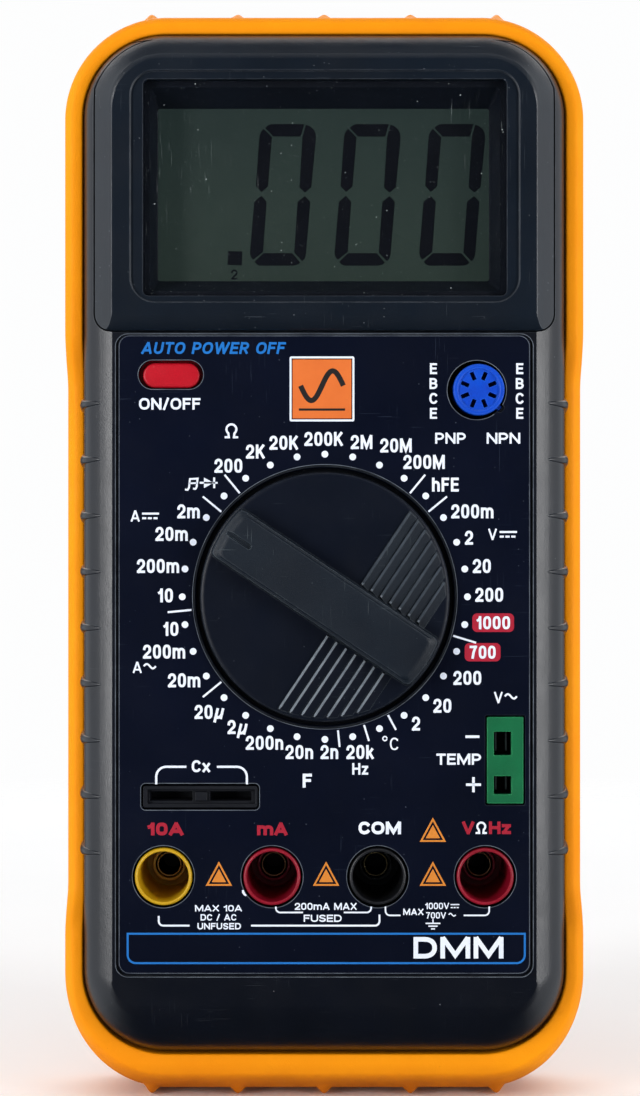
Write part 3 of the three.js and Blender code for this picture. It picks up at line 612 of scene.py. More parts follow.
def holster_part():
    st = case_stations(N_STRAIGHT, N_CORNER, N_SIDE)
    sections = []
    for x, y, nx, ny in st:
        rim = rim_height(y, nx)
        foot, head = max(0.0, -ny) ** 1.5, max(0.0, ny) ** 1.5
        t = 3.8 + (8.3 - 3.8) * foot + (4.3 - 3.8) * head
        crest = 2.2 + 1.6 * foot
        dip = (RIM_HIGH - rim) / (RIM_HIGH - RIM_LOW)
        inner = 0.1 + 0.32 * dip
        ctrl = [
            (inner - 6, HOL_BACK),
            (t - 3.4, HOL_BACK),
            (t - 1.2, HOL_BACK + 0.35),
            (t, HOL_BACK + 2.6),
            (t, 3.2),
            (t, 9.0),
            (t, min(16.5, rim - 3.4)),
            (min(t, crest + 1.5), rim - 1.7),
            (crest + 0.35, rim - 0.3),
            (crest - 0.35, rim),
            (inner + 0.34, rim),
            (inner + 0.02, rim - 0.26),
            (inner, rim - 0.9),
            (inner, rim - 6),
            (inner, 0.6),
            (inner - 0.9, -0.3),
            (inner - 6, -0.3),
        ]
        sec = chaikin(ctrl, 2)
        pts = []
        for d, w in sec:
            u, v = x + nx * d, y + ny * d
            # the ribs at the foot and the head, run into the wall
            if d > crest - 0.2:
                for c in NUBS:
                    if ny < -0.5:
                        k = abs(u - c) / 1.5
                        if k < 1:
                            k = math.cos(math.pi * k / 2) ** 1.5
                            k *= smooth01((w + 3.0) / 1.1) * smooth01((19.6 - w) / 3.6)
                            v += (FOOT - v) * k
                    if ny > 0.5:
                        k = abs(u - c) / 1.75
                        if k < 1:
                            k = math.cos(math.pi * k / 2) ** 1.5
                            k *= smooth01((w + 1.6) / 1.4) * smooth01((20.8 - w) / 4.2)
                            v += (HEAD - v) * k
            pts.append((min(48.38, max(-48.38, u)), v, w))
        sections.append(np.array(pts))
    n, m = len(sections[0]), len(sections)
    V = np.concatenate(sections)
    F = []
    for s in range(m):
        t = (s + 1) % m
        for i in range(n - 1):
            F.append((s * n + i, t * n + i, t * n + i + 1, s * n + i + 1))
    F.append(tuple(s * n for s in reversed(range(m))))
    F.append(tuple(s * n + n - 1 for s in range(m)))
    shell = oriented(V, F)

    # probe channels, stand lugs, hanging slots
    union, cut1, cut2 = [], [], []
    for side in (-1, 1):
        c = side * 38.6
        plan = []
        r = 1.3
        a0, a1, b0, b1 = c - 6.4, c + 6.4, -9.3, 0.0
        for cx, cw, s0 in ((a0 + r, b0 + r, 180), (a1 - r, b0 + r, 270)):
            for i in range(7):
                a = math.radians(s0 + 15 * i)
                plan.append((cx + r * math.cos(a), cw + r * math.sin(a)))
        plan += [(a1, -1.9), (a0, -1.9)]
        plan = np.array(plan)
        mid = plan.mean(0)
        rings = []
        for y, shrink in ((-68, 0.7), (-67.8, 0.35), (-67.3, 0.08), (-66.8, 0), (60.8, 0), (61.3, 0.08), (61.8, 0.35), (62, 0.7)):
            q = plan.copy()
            q[:, 0] += np.clip(mid[0] - q[:, 0], -shrink, shrink)
            q[:, 1] += np.where(q[:, 1] < -4, shrink, 0)
            rings.append(np.column_stack([q[:, 0], np.full(len(q), float(y)), q[:, 1]]))
        union.append(loft(rings))
        cut1.append(rod_y(c, -7.7, 4.6, -72, 56, 64))
        l0, l1 = (26.2, 32.6) if side > 0 else (-32.6, -26.2)
        lug = []
        for cy, cw, s0 in ((45.4 + 2.2, -9.3 + 2.2, 180), (54.6 - 2.2, -9.3 + 2.2, 270)):
            for i in range(9):
                a = math.radians(s0 + 90 * i / 8)
                lug.append((cy + 2.2 * math.cos(a), cw + 2.2 * math.sin(a)))
        lug += [(54.6, -1.9), (45.4, -1.9)]
        lug = np.array(lug)
        rings = []
        for x, s in ((l0, 0.35), (l0 + 0.12, 0.12), (l0 + 0.4, 0), (l1 - 0.4, 0), (l1 - 0.12, 0.12), (l1, 0.35)):
            q = lug.copy()
            q[:, 0] += np.clip(50 - q[:, 0], -s, s)
            q[:, 1] += np.where(q[:, 1] < -4, s, 0)
            rings.append(np.column_stack([np.full(len(q), x), q[:, 0], q[:, 1]]))
        union.append(loft(rings))
        p0, p1 = (20, 30.6) if side > 0 else (-30.6, -20)
        cut2.append(rod_x(p0, p1, 50.0, -6.3, 1.8, 40))
        s = side * 11.5
        cut2.append(slab(lambda i, s=s: rrect(s - 3.4 + i, s + 3.4 - i, 68.0 + i, 71.4 - i, 1.0 - i * 0.5, None, 5), -10, 1))
    return boolean(
        shell,
        [("UNION", merge(*union)), ("DIFFERENCE", merge(*cut1)), ("DIFFERENCE", merge(*cut2))],
    )


# ---------------------------------------------------------------- case
side_in = spline([15.35, 22, 24, 25, 26, 27, 27.8, 28.6, 29.1, 29.5], [0, 0.08, 0.25, 0.55, 1.0, 1.8, 2.75, 4.0, 5.0, 5.9])
top_in = spline([15.35, 22, 25, 27.3, 28.7, 29.5], [0, 0.1, 0.6, 1.9, 3.6, 5.0])
bot_in = spline([15.35, 22, 24, 25.5, 27, 28, 28.8, 29.3, 29.5], [0, 0.25, 0.9, 1.9, 3.6, 5.3, 7.2, 8.9, 10.2])
r_top = spline([15.35, 22, 25, 27.3, 28.7, 29.5], [15.4, 15.3, 14.8, 13.5, 11.2, 9.0])
r_bot = spline([15.35, 22, 25, 27.3, 28.7, 29.5], [15.4, 15.3, 14.4, 12.2, 8.6, 5.0])
LEVELS = (15.5, 17, 19, 21, 22.4, 23.4, 24.2, 24.9, 25.5, 26.1, 26.6, 27.05, 27.45, 27.8, 28.15, 28.45, 28.75, 29.0, 29.2, 29.37, 29.5)


def case_level(w, side, top, bottom, rt, rb, k=18):
    return at(rrect(-CASE_X + side, CASE_X - side, CASE_B + bottom, CASE_T - top, rt, rb, k), w)


def rib(side, y):
    """Drop-shaped grip rib that follows the shoulder of the case."""
    rings = []
    m = 26
    for w, h, p in (
        (17.2, 0.25, 0.05),
        (17.45, 0.8, 0.35),
        (17.9, 1.22, 0.6),
        (18.6, 1.46, 0.78),
        (19.6, 1.52, 0.85),
        (20.8, 1.42, 0.85),
        (22.0, 1.22, 0.8),
        (23.2, 1.02, 0.72),
        (24.4, 0.86, 0.62),
        (25.4, 0.74, 0.52),
        (26.3, 0.64, 0.42),
        (27.1, 0.54, 0.34),
        (27.7, 0.44, 0.26),
        (28.15, 0.32, 0.18),
        (28.45, 0.14, 0.08),
    ):
        s = side_in(w)
        ds = (side_in(w + 0.1) - side_in(w - 0.1)) / 0.2
        n = np.array([1.0, ds])
        n /= np.linalg.norm(n)
        cu, cw = CASE_X - s - 0.12 * n[0], w - 0.12 * n[1]
        ring = []
        for i in range(m):
            a = 2 * math.pi * i / m
            out = math.sin(a)
            out = out * (p + 0.12) if out > 0 else out * 0.5
            ring.append((side * (cu + n[0] * out), y + h * math.cos(a), cw + n[1] * out))
        rings.append(np.array(ring))
    return loft(rings)


def stadium(cx, cy, w, h, k=14):
    def plan(i):
        r = h / 2 - i
        return rrect(cx - w / 2 + i, cx + w / 2 - i, cy - r, cy + r, r - 1e-4, None, k)

    return plan


def rounded(x0, x1, y0, y1, r, k=6):
    def plan(i):
        return rrect(x0 + i, x1 - i, y0 + i, y1 - i, max(0.05, r - i), None, k)

    return plan


def disc(cx, cy, r, n=96):
    return lambda i: circle(cx, cy, r - i, n)


BEZEL_Y0 = BEZEL[2]
RECESS = (LABEL[0] - 0.4, LABEL[1] + 0.4, LABEL[2] - 0.4, LABEL[3] + 0.15)
BTN_HOLE = (-28.0, 31.0, 12.0, 5.4)
HFE = (28.2, 28.2)
HFE_HOLE = (27.65, 28.1, 5.78)


def front_case_part():
    outer = loft([case_level(w, side_in(w), top_in(w), bot_in(w), r_top(w), r_bot(w)) for w in LEVELS])
    ribs = merge(*[rib(s, 25.8 - 10.29 * i) for s in (-1, 1) for i in range(9)])
    inner = loft(
        [
            case_level(w, s, t, b, rt, rb, 8)
            for w, s, t, b, rt, rb in (
                (14.3, 2.2, 2.2, 2.2, 13.2, 13.2),
                (23, 2.7, 2.7, 2.8, 12.6, 12.6),
                (24.6, 3.8, 3.7, 4.6, 11.6, 11.6),
                (27.0, 6.6, 6.0, 10.4, 9.0, 7.0),
            )
        ]
    )
    posts = [lathe(x, y, [(0, 9.9), (2.6, 9.9), (2.6, 27.8), (0, 27.8)], 24) for x, y in ((-38.6, 34.5), (38.6, 34.5), (-38.6, -52.0), (38.6, -52.0))]
    posts += [
        lathe(x, y, [(0, 15.5), (2.7, 15.5), (2.7, t), (0, t)], 24)
        for x, y, t in ((0, 89.7, 26.4), (-37.0, -84.5, 24.6), (37.0, -84.5, 24.6))
    ]
    ring = lathe(DIAL[0], DIAL[1], [(25.3, 12.6), (25.3, 27.2), (22.9, 27.2), (22.9, 12.6)], 128)
    seat = hole(rounded(-42.3, 42.3, BEZEL_Y0 - 0.22, 120, 3.5, 10), 26.6, 29.5, 0.12)
    seat_top = box(-42.3, 42.3, 92.3, 120, 22.0, 26.7)
    opening = box(-37.0, 37.0, 42.4, 87.2, 20, 30)
    recess = hole(rounded(RECESS[0], RECESS[1], RECESS[2], RECESS[3], 2.2, 10), 28.75, 29.5, 0.16)
    cuts = [hole(disc(DIAL[0], DIAL[1], 23.97, 160), 26.6, 28.75, 0.05)]
    for n, x in JACK_X.items():
        cuts.append(hole(disc(x, JACK_Y, 5.69, 72), 20, 28.75, 0.05))
    cuts.append(hole(stadium(*BTN_HOLE), 20, 28.75, 0.05))
    cuts.append(hole(disc(*HFE_HOLE, 80), 20, 28.75, 0.05))
    cuts.append(hole(rounded(-33.4, -11.8, -48.4, -43.8, 0.6), 20, 28.75, 0.05))
    cuts.append(hole(rounded(29.35, 36.6, -47.6, -31.2, 0.4), 20, 28.75, 0.05))
    return boolean(
        outer,
        [
            ("UNION", ribs),
            ("DIFFERENCE", inner),
            ("UNION", merge(*posts)),
            ("UNION", ring),
            ("DIFFERENCE", seat),
            ("DIFFERENCE", seat_top),
            ("DIFFERENCE", opening),
            ("DIFFERENCE", recess),
            ("DIFFERENCE", merge(*cuts)),
        ],
    )


def bezel_part():
    s_in = spline([22.3, 25, 27.3, 28.9, 30.5, 30.85, 31.0], [0.1, 0.7, 2.2, 3.75, 5.38, 5.74, 6.0])
    t_in = spline([22.3, 25, 27.3, 28.9, 30.3, 30.75, 31.0], [0.1, 0.6, 1.9, 3.2, 4.7, 5.3, 6.2])
    rr = spline([22.3, 25, 27.3, 28.9, 30.3, 31.0], [15.2, 14.6, 13.2, 11.6, 10.0, 9.0])
    ws = (22.3, 23.4, 24.3, 25.0, 25.7, 26.4, 27.0, 27.6, 28.2, 28.8, 29.4, 29.9, 30.4, 30.65, 30.82, 30.93, 31.0)
    body = loft([case_level(w, s_in(w), t_in(w), 60, rr(w), 2, 18) for w in ws])
    plan = rounded(-42.0, 42.0, BEZEL_Y0, 120, 3.3, 12)
    # outline below, with its lower edge rolled down to the face
    keep = []
    for w, y in ((20, 0), (29.75, 0), (29.95, 0.1), (30.2, 0.32), (30.45, 0.7), (30.65, 1.15), (30.82, 1.7), (30.94, 2.3), (31.0, 2.9), (31.05, 3.3)):
        p = rrect(-42.0 + y * 0.5, 42.0 - y * 0.5, BEZEL_Y0 + y, 120, 1, 3.3 - y * 0.25, 12)
        keep.append(at(p, w))
    keep.append(at(rrect(-40.3, 40.3, BEZEL_Y0 + 3.3, 120, 1, 2.4, 12), 40))
    groove = loft(
        [
            at(rrect(-35.3 + i, 35.5 - i, 44.0 + i, 86.1 - i, 4.5 - i, 4.5 - i, 10), w)
            for w, i in ((30.45, 0.35), (30.5, 0.12), (30.62, 0.0), (30.9, 0.0), (31.02, -0.12), (31.6, -0.7))
        ]
    )
    window = hole(rounded(LENS[0] - 0.3, LENS[1] + 0.3, LENS[2] - 0.3, LENS[3] + 0.3, 1.0), 20, 30.45, 0.1)
    rebate = box(-36.6, 36.6, 42.8, 86.9, 19, 28.6)
    back_cut = box(-60, 60, 0, 92.6, 18, 26.9)
    return boolean(
        body,
        [
            ("INTERSECT", loft(keep)),
            ("DIFFERENCE", back_cut),
            ("DIFFERENCE", rebate),
            ("DIFFERENCE", window),
            ("DIFFERENCE", groove),
        ],
    )


def lens_part():
    return slab(rounded(LENS[0], LENS[1], LENS[2], LENS[3], 0.9), LENS[4], LENS[5], 0.15, 0.1)


def lcd_frame_part():
    base = slab(rounded(-36.2, 36.2, 43.2, 86.5, 0.8), 20.2, 28.2, 0.2, 0.2)
    flare = loft(
        [
            at(rrect(x0, x1, y0, y1, r, r, 8), w)
            for x0, x1, y0, y1, r, w in (
                (-30.8, 30.5, 48.7, 80.65, 0.5, 22.7),
                (-30.8, 30.5, 48.7, 80.65, 0.5, 23.15),
                (-30.95, 30.65, 48.55, 80.8, 0.55, 23.3),
                (-31.95, 32.15, 46.25, 83.55, 0.8, 28.2),
                (-31.95, 32.15, 46.25, 83.55, 0.8, 29.5),
            )
        ]
    )
    pocket = box(-33.8, 33.8, 46.1, 83.3, 19, 23.0)
    strip = box(-31.2, 31.2, 44.2, 46.2, 19, 20.7)
    return boolean(base, [("DIFFERENCE", flare), ("DIFFERENCE", pocket), ("DIFFERENCE", strip)])


def label_part():
    base = slab(rounded(LABEL[0], LABEL[1], LABEL[2], LABEL[3], 2.0, 8), LABEL[4], LABEL[5], 0.07)
    f = LABEL[5]
    cuts = [
        hole(disc(DIAL[0], DIAL[1], 24.05, 180), 28, f, 0.06),
        hole(stadium(-28.0, 30.9, 11.8, 5.2), 28, f, 0.06),
        hole(disc(27.8, 28.1, 5.35, 90), 28, f, 0.06),
        hole(rounded(-33.4, -11.9, -48.42, -43.7, 0.8), 28, f, 0.06),
        hole(rounded(29.35, 36.6, -47.6, -31.2, 0.3), 28, f, 0.06),
    ] + [hole(disc(x, JACK_Y, 5.62, 80), 28, f, 0.06) for x in JACK_X.values()]
    notch = turned(slab(rounded(4.2, 5.8, -0.75, 0.75, 0.45), 27, f + 1), math.degrees(-0.72), HFE)
    return boolean(base, [("DIFFERENCE", merge(*cuts)), ("DIFFERENCE", notch)])


def label_edges_part():
    """Pale lines round the label film's outline and its openings, partly its pale cut edge and partly a painted
    highlight, and a painted highlight round the rim of its recess.
    """
    f = LABEL[5] - 0.015
    parts = [stroke(rounded(LABEL[0] + 0.2, LABEL[1] - 0.2, LABEL[2] + 0.2, LABEL[3] - 0.2, 1.9, 8)(0), 0.1, f, 0.03, closed=True)]
    for x in JACK_X.values():
        parts.append(stroke(circle(x, JACK_Y, 5.7, 80), 0.11, f, 0.03, closed=True))
    parts.append(stroke(circle(DIAL[0], DIAL[1], 24.14, 180), 0.12, f, 0.03, closed=True))
    parts.append(stroke(stadium(-28.0, 30.9, 11.98, 5.38)(0)[::-1], 0.11, f, 0.03, closed=True))
    parts.append(stroke(rounded(-33.5, -11.8, -48.52, -43.6, 0.9)(0), 0.12, f, 0.03, closed=True))
    a = math.radians(-42)
    parts.append(stroke([(27.8 + 5.43 * math.cos(a + math.radians(q)), 28.1 + 5.43 * math.sin(a + math.radians(q))) for q in range(12, 350, 4)], 0.11, f, 0.03))
    parts.append(stroke(rounded(RECESS[0] - 0.1, RECESS[1] + 0.1, RECESS[2] - 0.1, RECESS[3] + 0.02, 2.3, 10)(0), 0.12, 29.485, 0.03, closed=True))
    return merge(*parts)


# ---------------------------------------------------------------- knob
def knob_part():
    """Drawn with the pointer along +v and turned to its stored position."""
    disc_w, top_w, R = 31.4, 35.0, 22.7
    base = lathe(
        0,
        0,
        [(0, 27.9), (R - 0.4, 27.9), (R - 0.08, 28.05), (R, 28.4), (R, 30.55), (R - 0.07, 30.95), (R - 0.28, 31.22), (R - 0.6, 31.36), (R - 0.95, disc_w), (0, disc_w)],
        220,
    )
    half, L = 5.2, 22.25

    def bar_plan(i, end=0.0):
        """Strip across the disc with ends that follow its rim; inset i at the sides, end at the ends."""
        h, rad, c = half - i, L - end, 1.15
        # corner fillets between the side lines and the rim arc
        cx = h - c
        cy = math.sqrt((rad - c) ** 2 - cx * cx)
        a_end = math.atan2(cy, cx)
        pts = []
        for k in range(11):
            a = a_end * k / 10
            pts.append((cx + c * math.cos(a), cy + c * math.sin(a)))
        for k in range(1, 15):
            a = a_end + (math.pi - 2 * a_end) * k / 15
            pts.append((rad * math.cos(a), rad * math.sin(a)))
        for k in range(10, -1, -1):
            a = math.pi - a_end * k / 10
            pts.append((-cx + c * math.cos(a), cy + c * math.sin(a)))
        pts = np.array(pts)
        return np.vstack([pts, -pts])

    rings = [
        at(bar_plan(0.0, 0.0), disc_w - 0.6),
        at(bar_plan(0.0, 0.0), disc_w + 0.3),
        at(bar_plan(0.12, 0.15), 33.0),
        at(bar_plan(0.24, 0.35), 34.05),
        at(bar_plan(0.3, 0.5), 34.2),
        at(bar_plan(0.55, 0.85), 34.32),
        at(bar_plan(0.68, 1.05), 34.42),
        at(bar_plan(0.8, 1.35), 34.72),
        at(bar_plan(0.98, 1.75), 34.92),
        at(bar_plan(1.25, 2.3), top_w),
    ]
    bar = loft(rings)
    flutes, pits = [], []
    for i in range(7):
        y = -4.35 - 2.03 * i
        far = math.sqrt(22.1**2 - (abs(y) + 0.35) ** 2)
        if far < 6.6:
            continue
        for side in (-1, 1):
            x0, x1 = 5.5, far
            rings = []
            # a fine crest with a flat that slopes away from it, chamfered at both ends
            prof = [(0.24, 31.2), (0.21, 31.7), (0.13, 31.82), (-0.11, 31.82), (-0.2, 31.72), (-1.58, 31.44), (-1.66, 31.2)]
            for x, s in ((x0, 0.6), (x0 + 0.12, 1.0), (x0 + 0.5, 1.0), (x1 - 0.5, 1.0), (x1 - 0.15, 0.8), (x1, 0.4)):
                rings.append(np.array([(side * min(x, math.sqrt(22.1**2 - (y + p) ** 2) - (x1 - x)), y + p, 31.2 + (w - 31.2) * s) for p, w in prof]))
            flutes.append(loft(rings))
    groove = loft(
        [
            at(rrect(-0.42 + i, 0.42 - i, 16.1 + i, 24, 0.2, 0.35 - i * 0.5, 5), w)
            for w, i in ((34.45, 0.1), (34.85, 0.0), (35.0, -0.08), (36, -0.2))
        ]
    )
    hub = merge(
        lathe(0, 0, [(0, 19.0), (7.0, 19.0), (7.0, 28.4), (0, 28.4)], 40),
    )
    key = box(-3.9, 3.9, -3.9, 3.9, 15.0, 19.3)
    part = boolean(
        base,
        [("UNION", bar), ("UNION", merge(*flutes)), ("DIFFERENCE", groove), ("UNION", hub), ("UNION", key)],
    )
    return turned(part, 56.25, DIAL)


# ---------------------------------------------------------------- sockets, button, jacks
def button_part():
    cx, cy = (BUTTON[0] + BUTTON[1]) / 2, 30.8
    cap = slab(stadium(-27.9, 30.8, 10.5, 4.56), 25.5, BUTTON[5], 0.5, 0.0, 5)
    flange = slab(rounded(-34.2, -21.8, 27.6, 34.0, 0.6), 25.0, 26.2, 0.1, 0.1)
    return boolean(cap, [("UNION", flange)])


def hfe_part():
    x, y = HFE
    base = lathe(
        x,
        y,
        [(0, 20.5), (4.7, 20.5), (4.7, 29.25), (4.62, 29.45), (4.45, 29.58), (4.25, 29.6), (3.98, 29.58), (3.82, 29.47), (3.74, 29.25), (3.7, 29.15), (1.2, 29.15), (1.0, 29.19), (0, 29.22)],
        96,
    )
    key = turned(slab(rounded(4.2, 5.3, -0.5, 0.5, 0.3), 20.5, 28.6, 0.15), math.degrees(-0.72), (x, y))
    slots = []
    for i in range(8):
        plan = rounded(2.69 - 0.77, 2.69 + 0.77, -0.385, 0.385, 0.12, 4)
        slots.append(turned(hole(plan, 24.5, 29.15, 0.1), 22.5 + 45 * i, (x, y)))
    return boolean(base, [("UNION", key), ("DIFFERENCE", merge(*slots))])


def temp_part():
    base = slab(rounded(TEMP[0], TEMP[1], TEMP[2], TEMP[3], 0.25), 20.0, TEMP[5], 0.18)
    cuts = [
        hole(rounded(30.9, 34.1, -38.5, -34.2, 0.15), 22.5, TEMP[5], 0.14),
        hole(rounded(30.9, 34.1, -45.6, -42.3, 0.15), 22.5, TEMP[5], 0.14),
    ]
    return boolean(base, [("DIFFERENCE", merge(*cuts))])


def temp_clips_part():
    """Spring blades deep in the thermocouple socket, part of its insert."""
    parts = []
    for y0, y1 in ((-38.1, -34.6), (-45.2, -42.7)):
        for x in (31.35, 33.25):
            parts.append(slab(rounded(x, x + 0.4, y0, y1, 0.1), 22.6, 25.4, 0.1))
    return merge(*parts)


def cx_part():
    base = slab(rounded(CX[0], CX[1], CX[2], CX[3], 0.5), 20.0, CX[5], 0.15)
    well = hole(rounded(-32.3, -12.6, -47.4, -44.8, 0.25), 28.35, CX[5], 0.14)
    slots = [
        hole(rounded(-31.9, -24.1, -46.9, -45.2, 0.12), 23, 28.35, 0.1),
        hole(rounded(-20.9, -13.3, -46.9, -45.2, 0.12), 23, 28.35, 0.1),
    ]
    block = slab(rounded(-23.6, -21.4, -46.9, -45.2, 0.2), 28.0, 28.95, 0.2)
    return boolean(base, [("DIFFERENCE", well), ("DIFFERENCE", merge(*slots)), ("UNION", block)])


def jack_part(name):
    x = JACK_X[name]
    return lathe(
        x,
        JACK_Y,
        [
            (2.6, 9.9),
            (5.25, 9.9),
            (5.25, 29.05),
            (5.19, 29.33),
            (5.05, 29.52),
            (4.92, 29.6),
            (4.86, 29.6),
            (4.72, 29.55),
            (4.62, 29.42),
            (4.6, 29.2),
            (4.52, 20.0),
            (4.45, 11.55),
            (4.3, 11.4),
            (3.3, 11.4),
            (3.15, 11.55),
            (3.15, 13.4),
            (3.08, 13.6),
            (2.95, 13.7),
            (2.72, 13.7),
            (2.62, 13.6),
            (2.6, 13.4),
        ],
        96,
    )


def dial_ring_part():
    """Chamfered lip of the case round the knob."""
    return lathe(
        DIAL[0],
        DIAL[1],
        [(23.4, 26.8), (23.93, 26.8), (23.93, 29.36), (23.88, 29.42), (23.8, 29.42), (23.7, 29.37), (23.43, 28.98), (23.4, 28.85)],
        200,
    )


def contact_part(name):
    x = JACK_X[name]
    return lathe(
        x,
        JACK_Y,
        [(0, 3.4), (2.1, 3.4), (2.3, 3.6), (2.3, 13.35), (2.24, 13.47), (2.17, 13.5), (2.1, 13.47), (2.05, 13.35), (2.05, 4.4), (1.8, 4.2), (0, 4.2)],
        64,
    )


# ---------------------------------------------------------------- stands
def large_stand_part():
    def plan(i):
        return rrect(-25.4 + i, 25.4 - i, -46 + i, 48.6 - i, 1.5 - i * 0.4, 9 - i, 12)

    base = slab(plan, -7.6, -3.5, 0.5, 0.9, 4)
    barrel = rod_x(-25.7, 25.7, 50.0, -6.3, 2.7, 48, 0.3)
    pins = rod_x(-30.2, 30.2, 50.0, -6.3, 1.5, 32, 0.25)
    bar = []
    rings = []
    for x, s in ((-18, 0.5), (-17.7, 0.15), (-17.2, 0), (17.2, 0), (17.7, 0.15), (18, 0.5)):
        q = []
        for cy, cw, s0 in ((-45.6 + 1.2, -9.2 + 1.2, 180), (-41.6 - 1.2, -9.2 + 1.2, 270)):
            for k in range(6):
                a = math.radians(s0 + 18 * k)
                q.append((cy + (1.2 - s * 0.5) * math.cos(a), cw + (1.2 - s) * math.sin(a)))
        q += [(-41.6 - s * 0.3, -4.4), (-45.6 + s * 0.3, -4.4)]
        rings.append(np.array([(x, y, w) for y, w in q]))
    bar = loft(rings)
    # through window with rounded lips on both faces
    rings = []
    for w, i in ((-12, -0.5), (-7.6, -0.5), (-7.42, -0.2), (-7.1, 0.0), (-4.0, 0.0), (-3.7, -0.15), (-3.5, -0.4), (0, -0.4)):
        rings.append(at(rrect(-13.4 + i, 13.4 - i, -33.4 + i, 28.6 - i, 1.5 - i, 5 - i, 8), w))
    window = loft(rings)
    notch = box(-15.9, 15.9, 22.4, 25.6, -7.2, -4.0)
    # shallow sunk panels either side of the window
    sunk = [
        slab(lambda i, a=a, b=b: rrect(a + i, b - i, -36 + i, 40 - i, 1.4, 1.4, 6), -9, -7.15)
        for a, b in ((-22.6, -16.4), (16.4, 22.6))
    ]
    return boolean(
        base,
        [
            ("UNION", barrel),
            ("UNION", pins),
            ("UNION", bar),
            ("DIFFERENCE", window),
            ("DIFFERENCE", notch),
            ("DIFFERENCE", merge(*sunk)),
        ],
    )


def small_stand_part():
    def plan(i):
        return rrect(-12.9 + i, 12.9 - i, -30.6 + i, 25.4 - i, 1.0 - i * 0.3, 4.6 - i, 10)

    base = slab(plan, -7.3, -3.9, 0.4, 0.6, 4)
    pins = rod_x(-15.6, 15.6, 24.0, -5.6, 1.3, 32, 0.2)
    rings = []
    for w, i in ((-12, -0.4), (-7.3, -0.4), (-7.1, -0.12), (-6.9, 0.0), (-4.2, 0.0), (-3.9, -0.3), (0, -0.3)):
        rings.append(at(rrect(-7.4 + i, 7.4 - i, -24 + i, 16 - i, 2 - i, 3 - i, 8), w))
    return boolean(base, [("UNION", pins), ("DIFFERENCE", loft(rings))])


# ---------------------------------------------------------------- print
T_PRINT = 0.035
PRINT_W = FACE - 0.012  # the print starts just inside the film, so nothing lies face to face


def oval(cx, cy, rx, ry, a0, a1, n=20, fat=0.0):
    """Points on an ellipse; fat pushes it towards a rounded box."""
    out = []
    for q in np.radians(np.linspace(a0, a1, n)):
        c, d = math.cos(q), math.sin(q)
        e = 1.0 - fat
        out.append((cx + rx * math.copysign(abs(c) ** e, c), cy + ry * math.copysign(abs(d) ** e, d)))
    return out


def arch(x0, x1, top=0.72, r=0.30):
    return [(x0, top - r - 0.02)] + oval((x0 + x1) / 2, top - r, (x1 - x0) / 2, r, 180, 0, 14, 0.12) + [(x1, 0)]


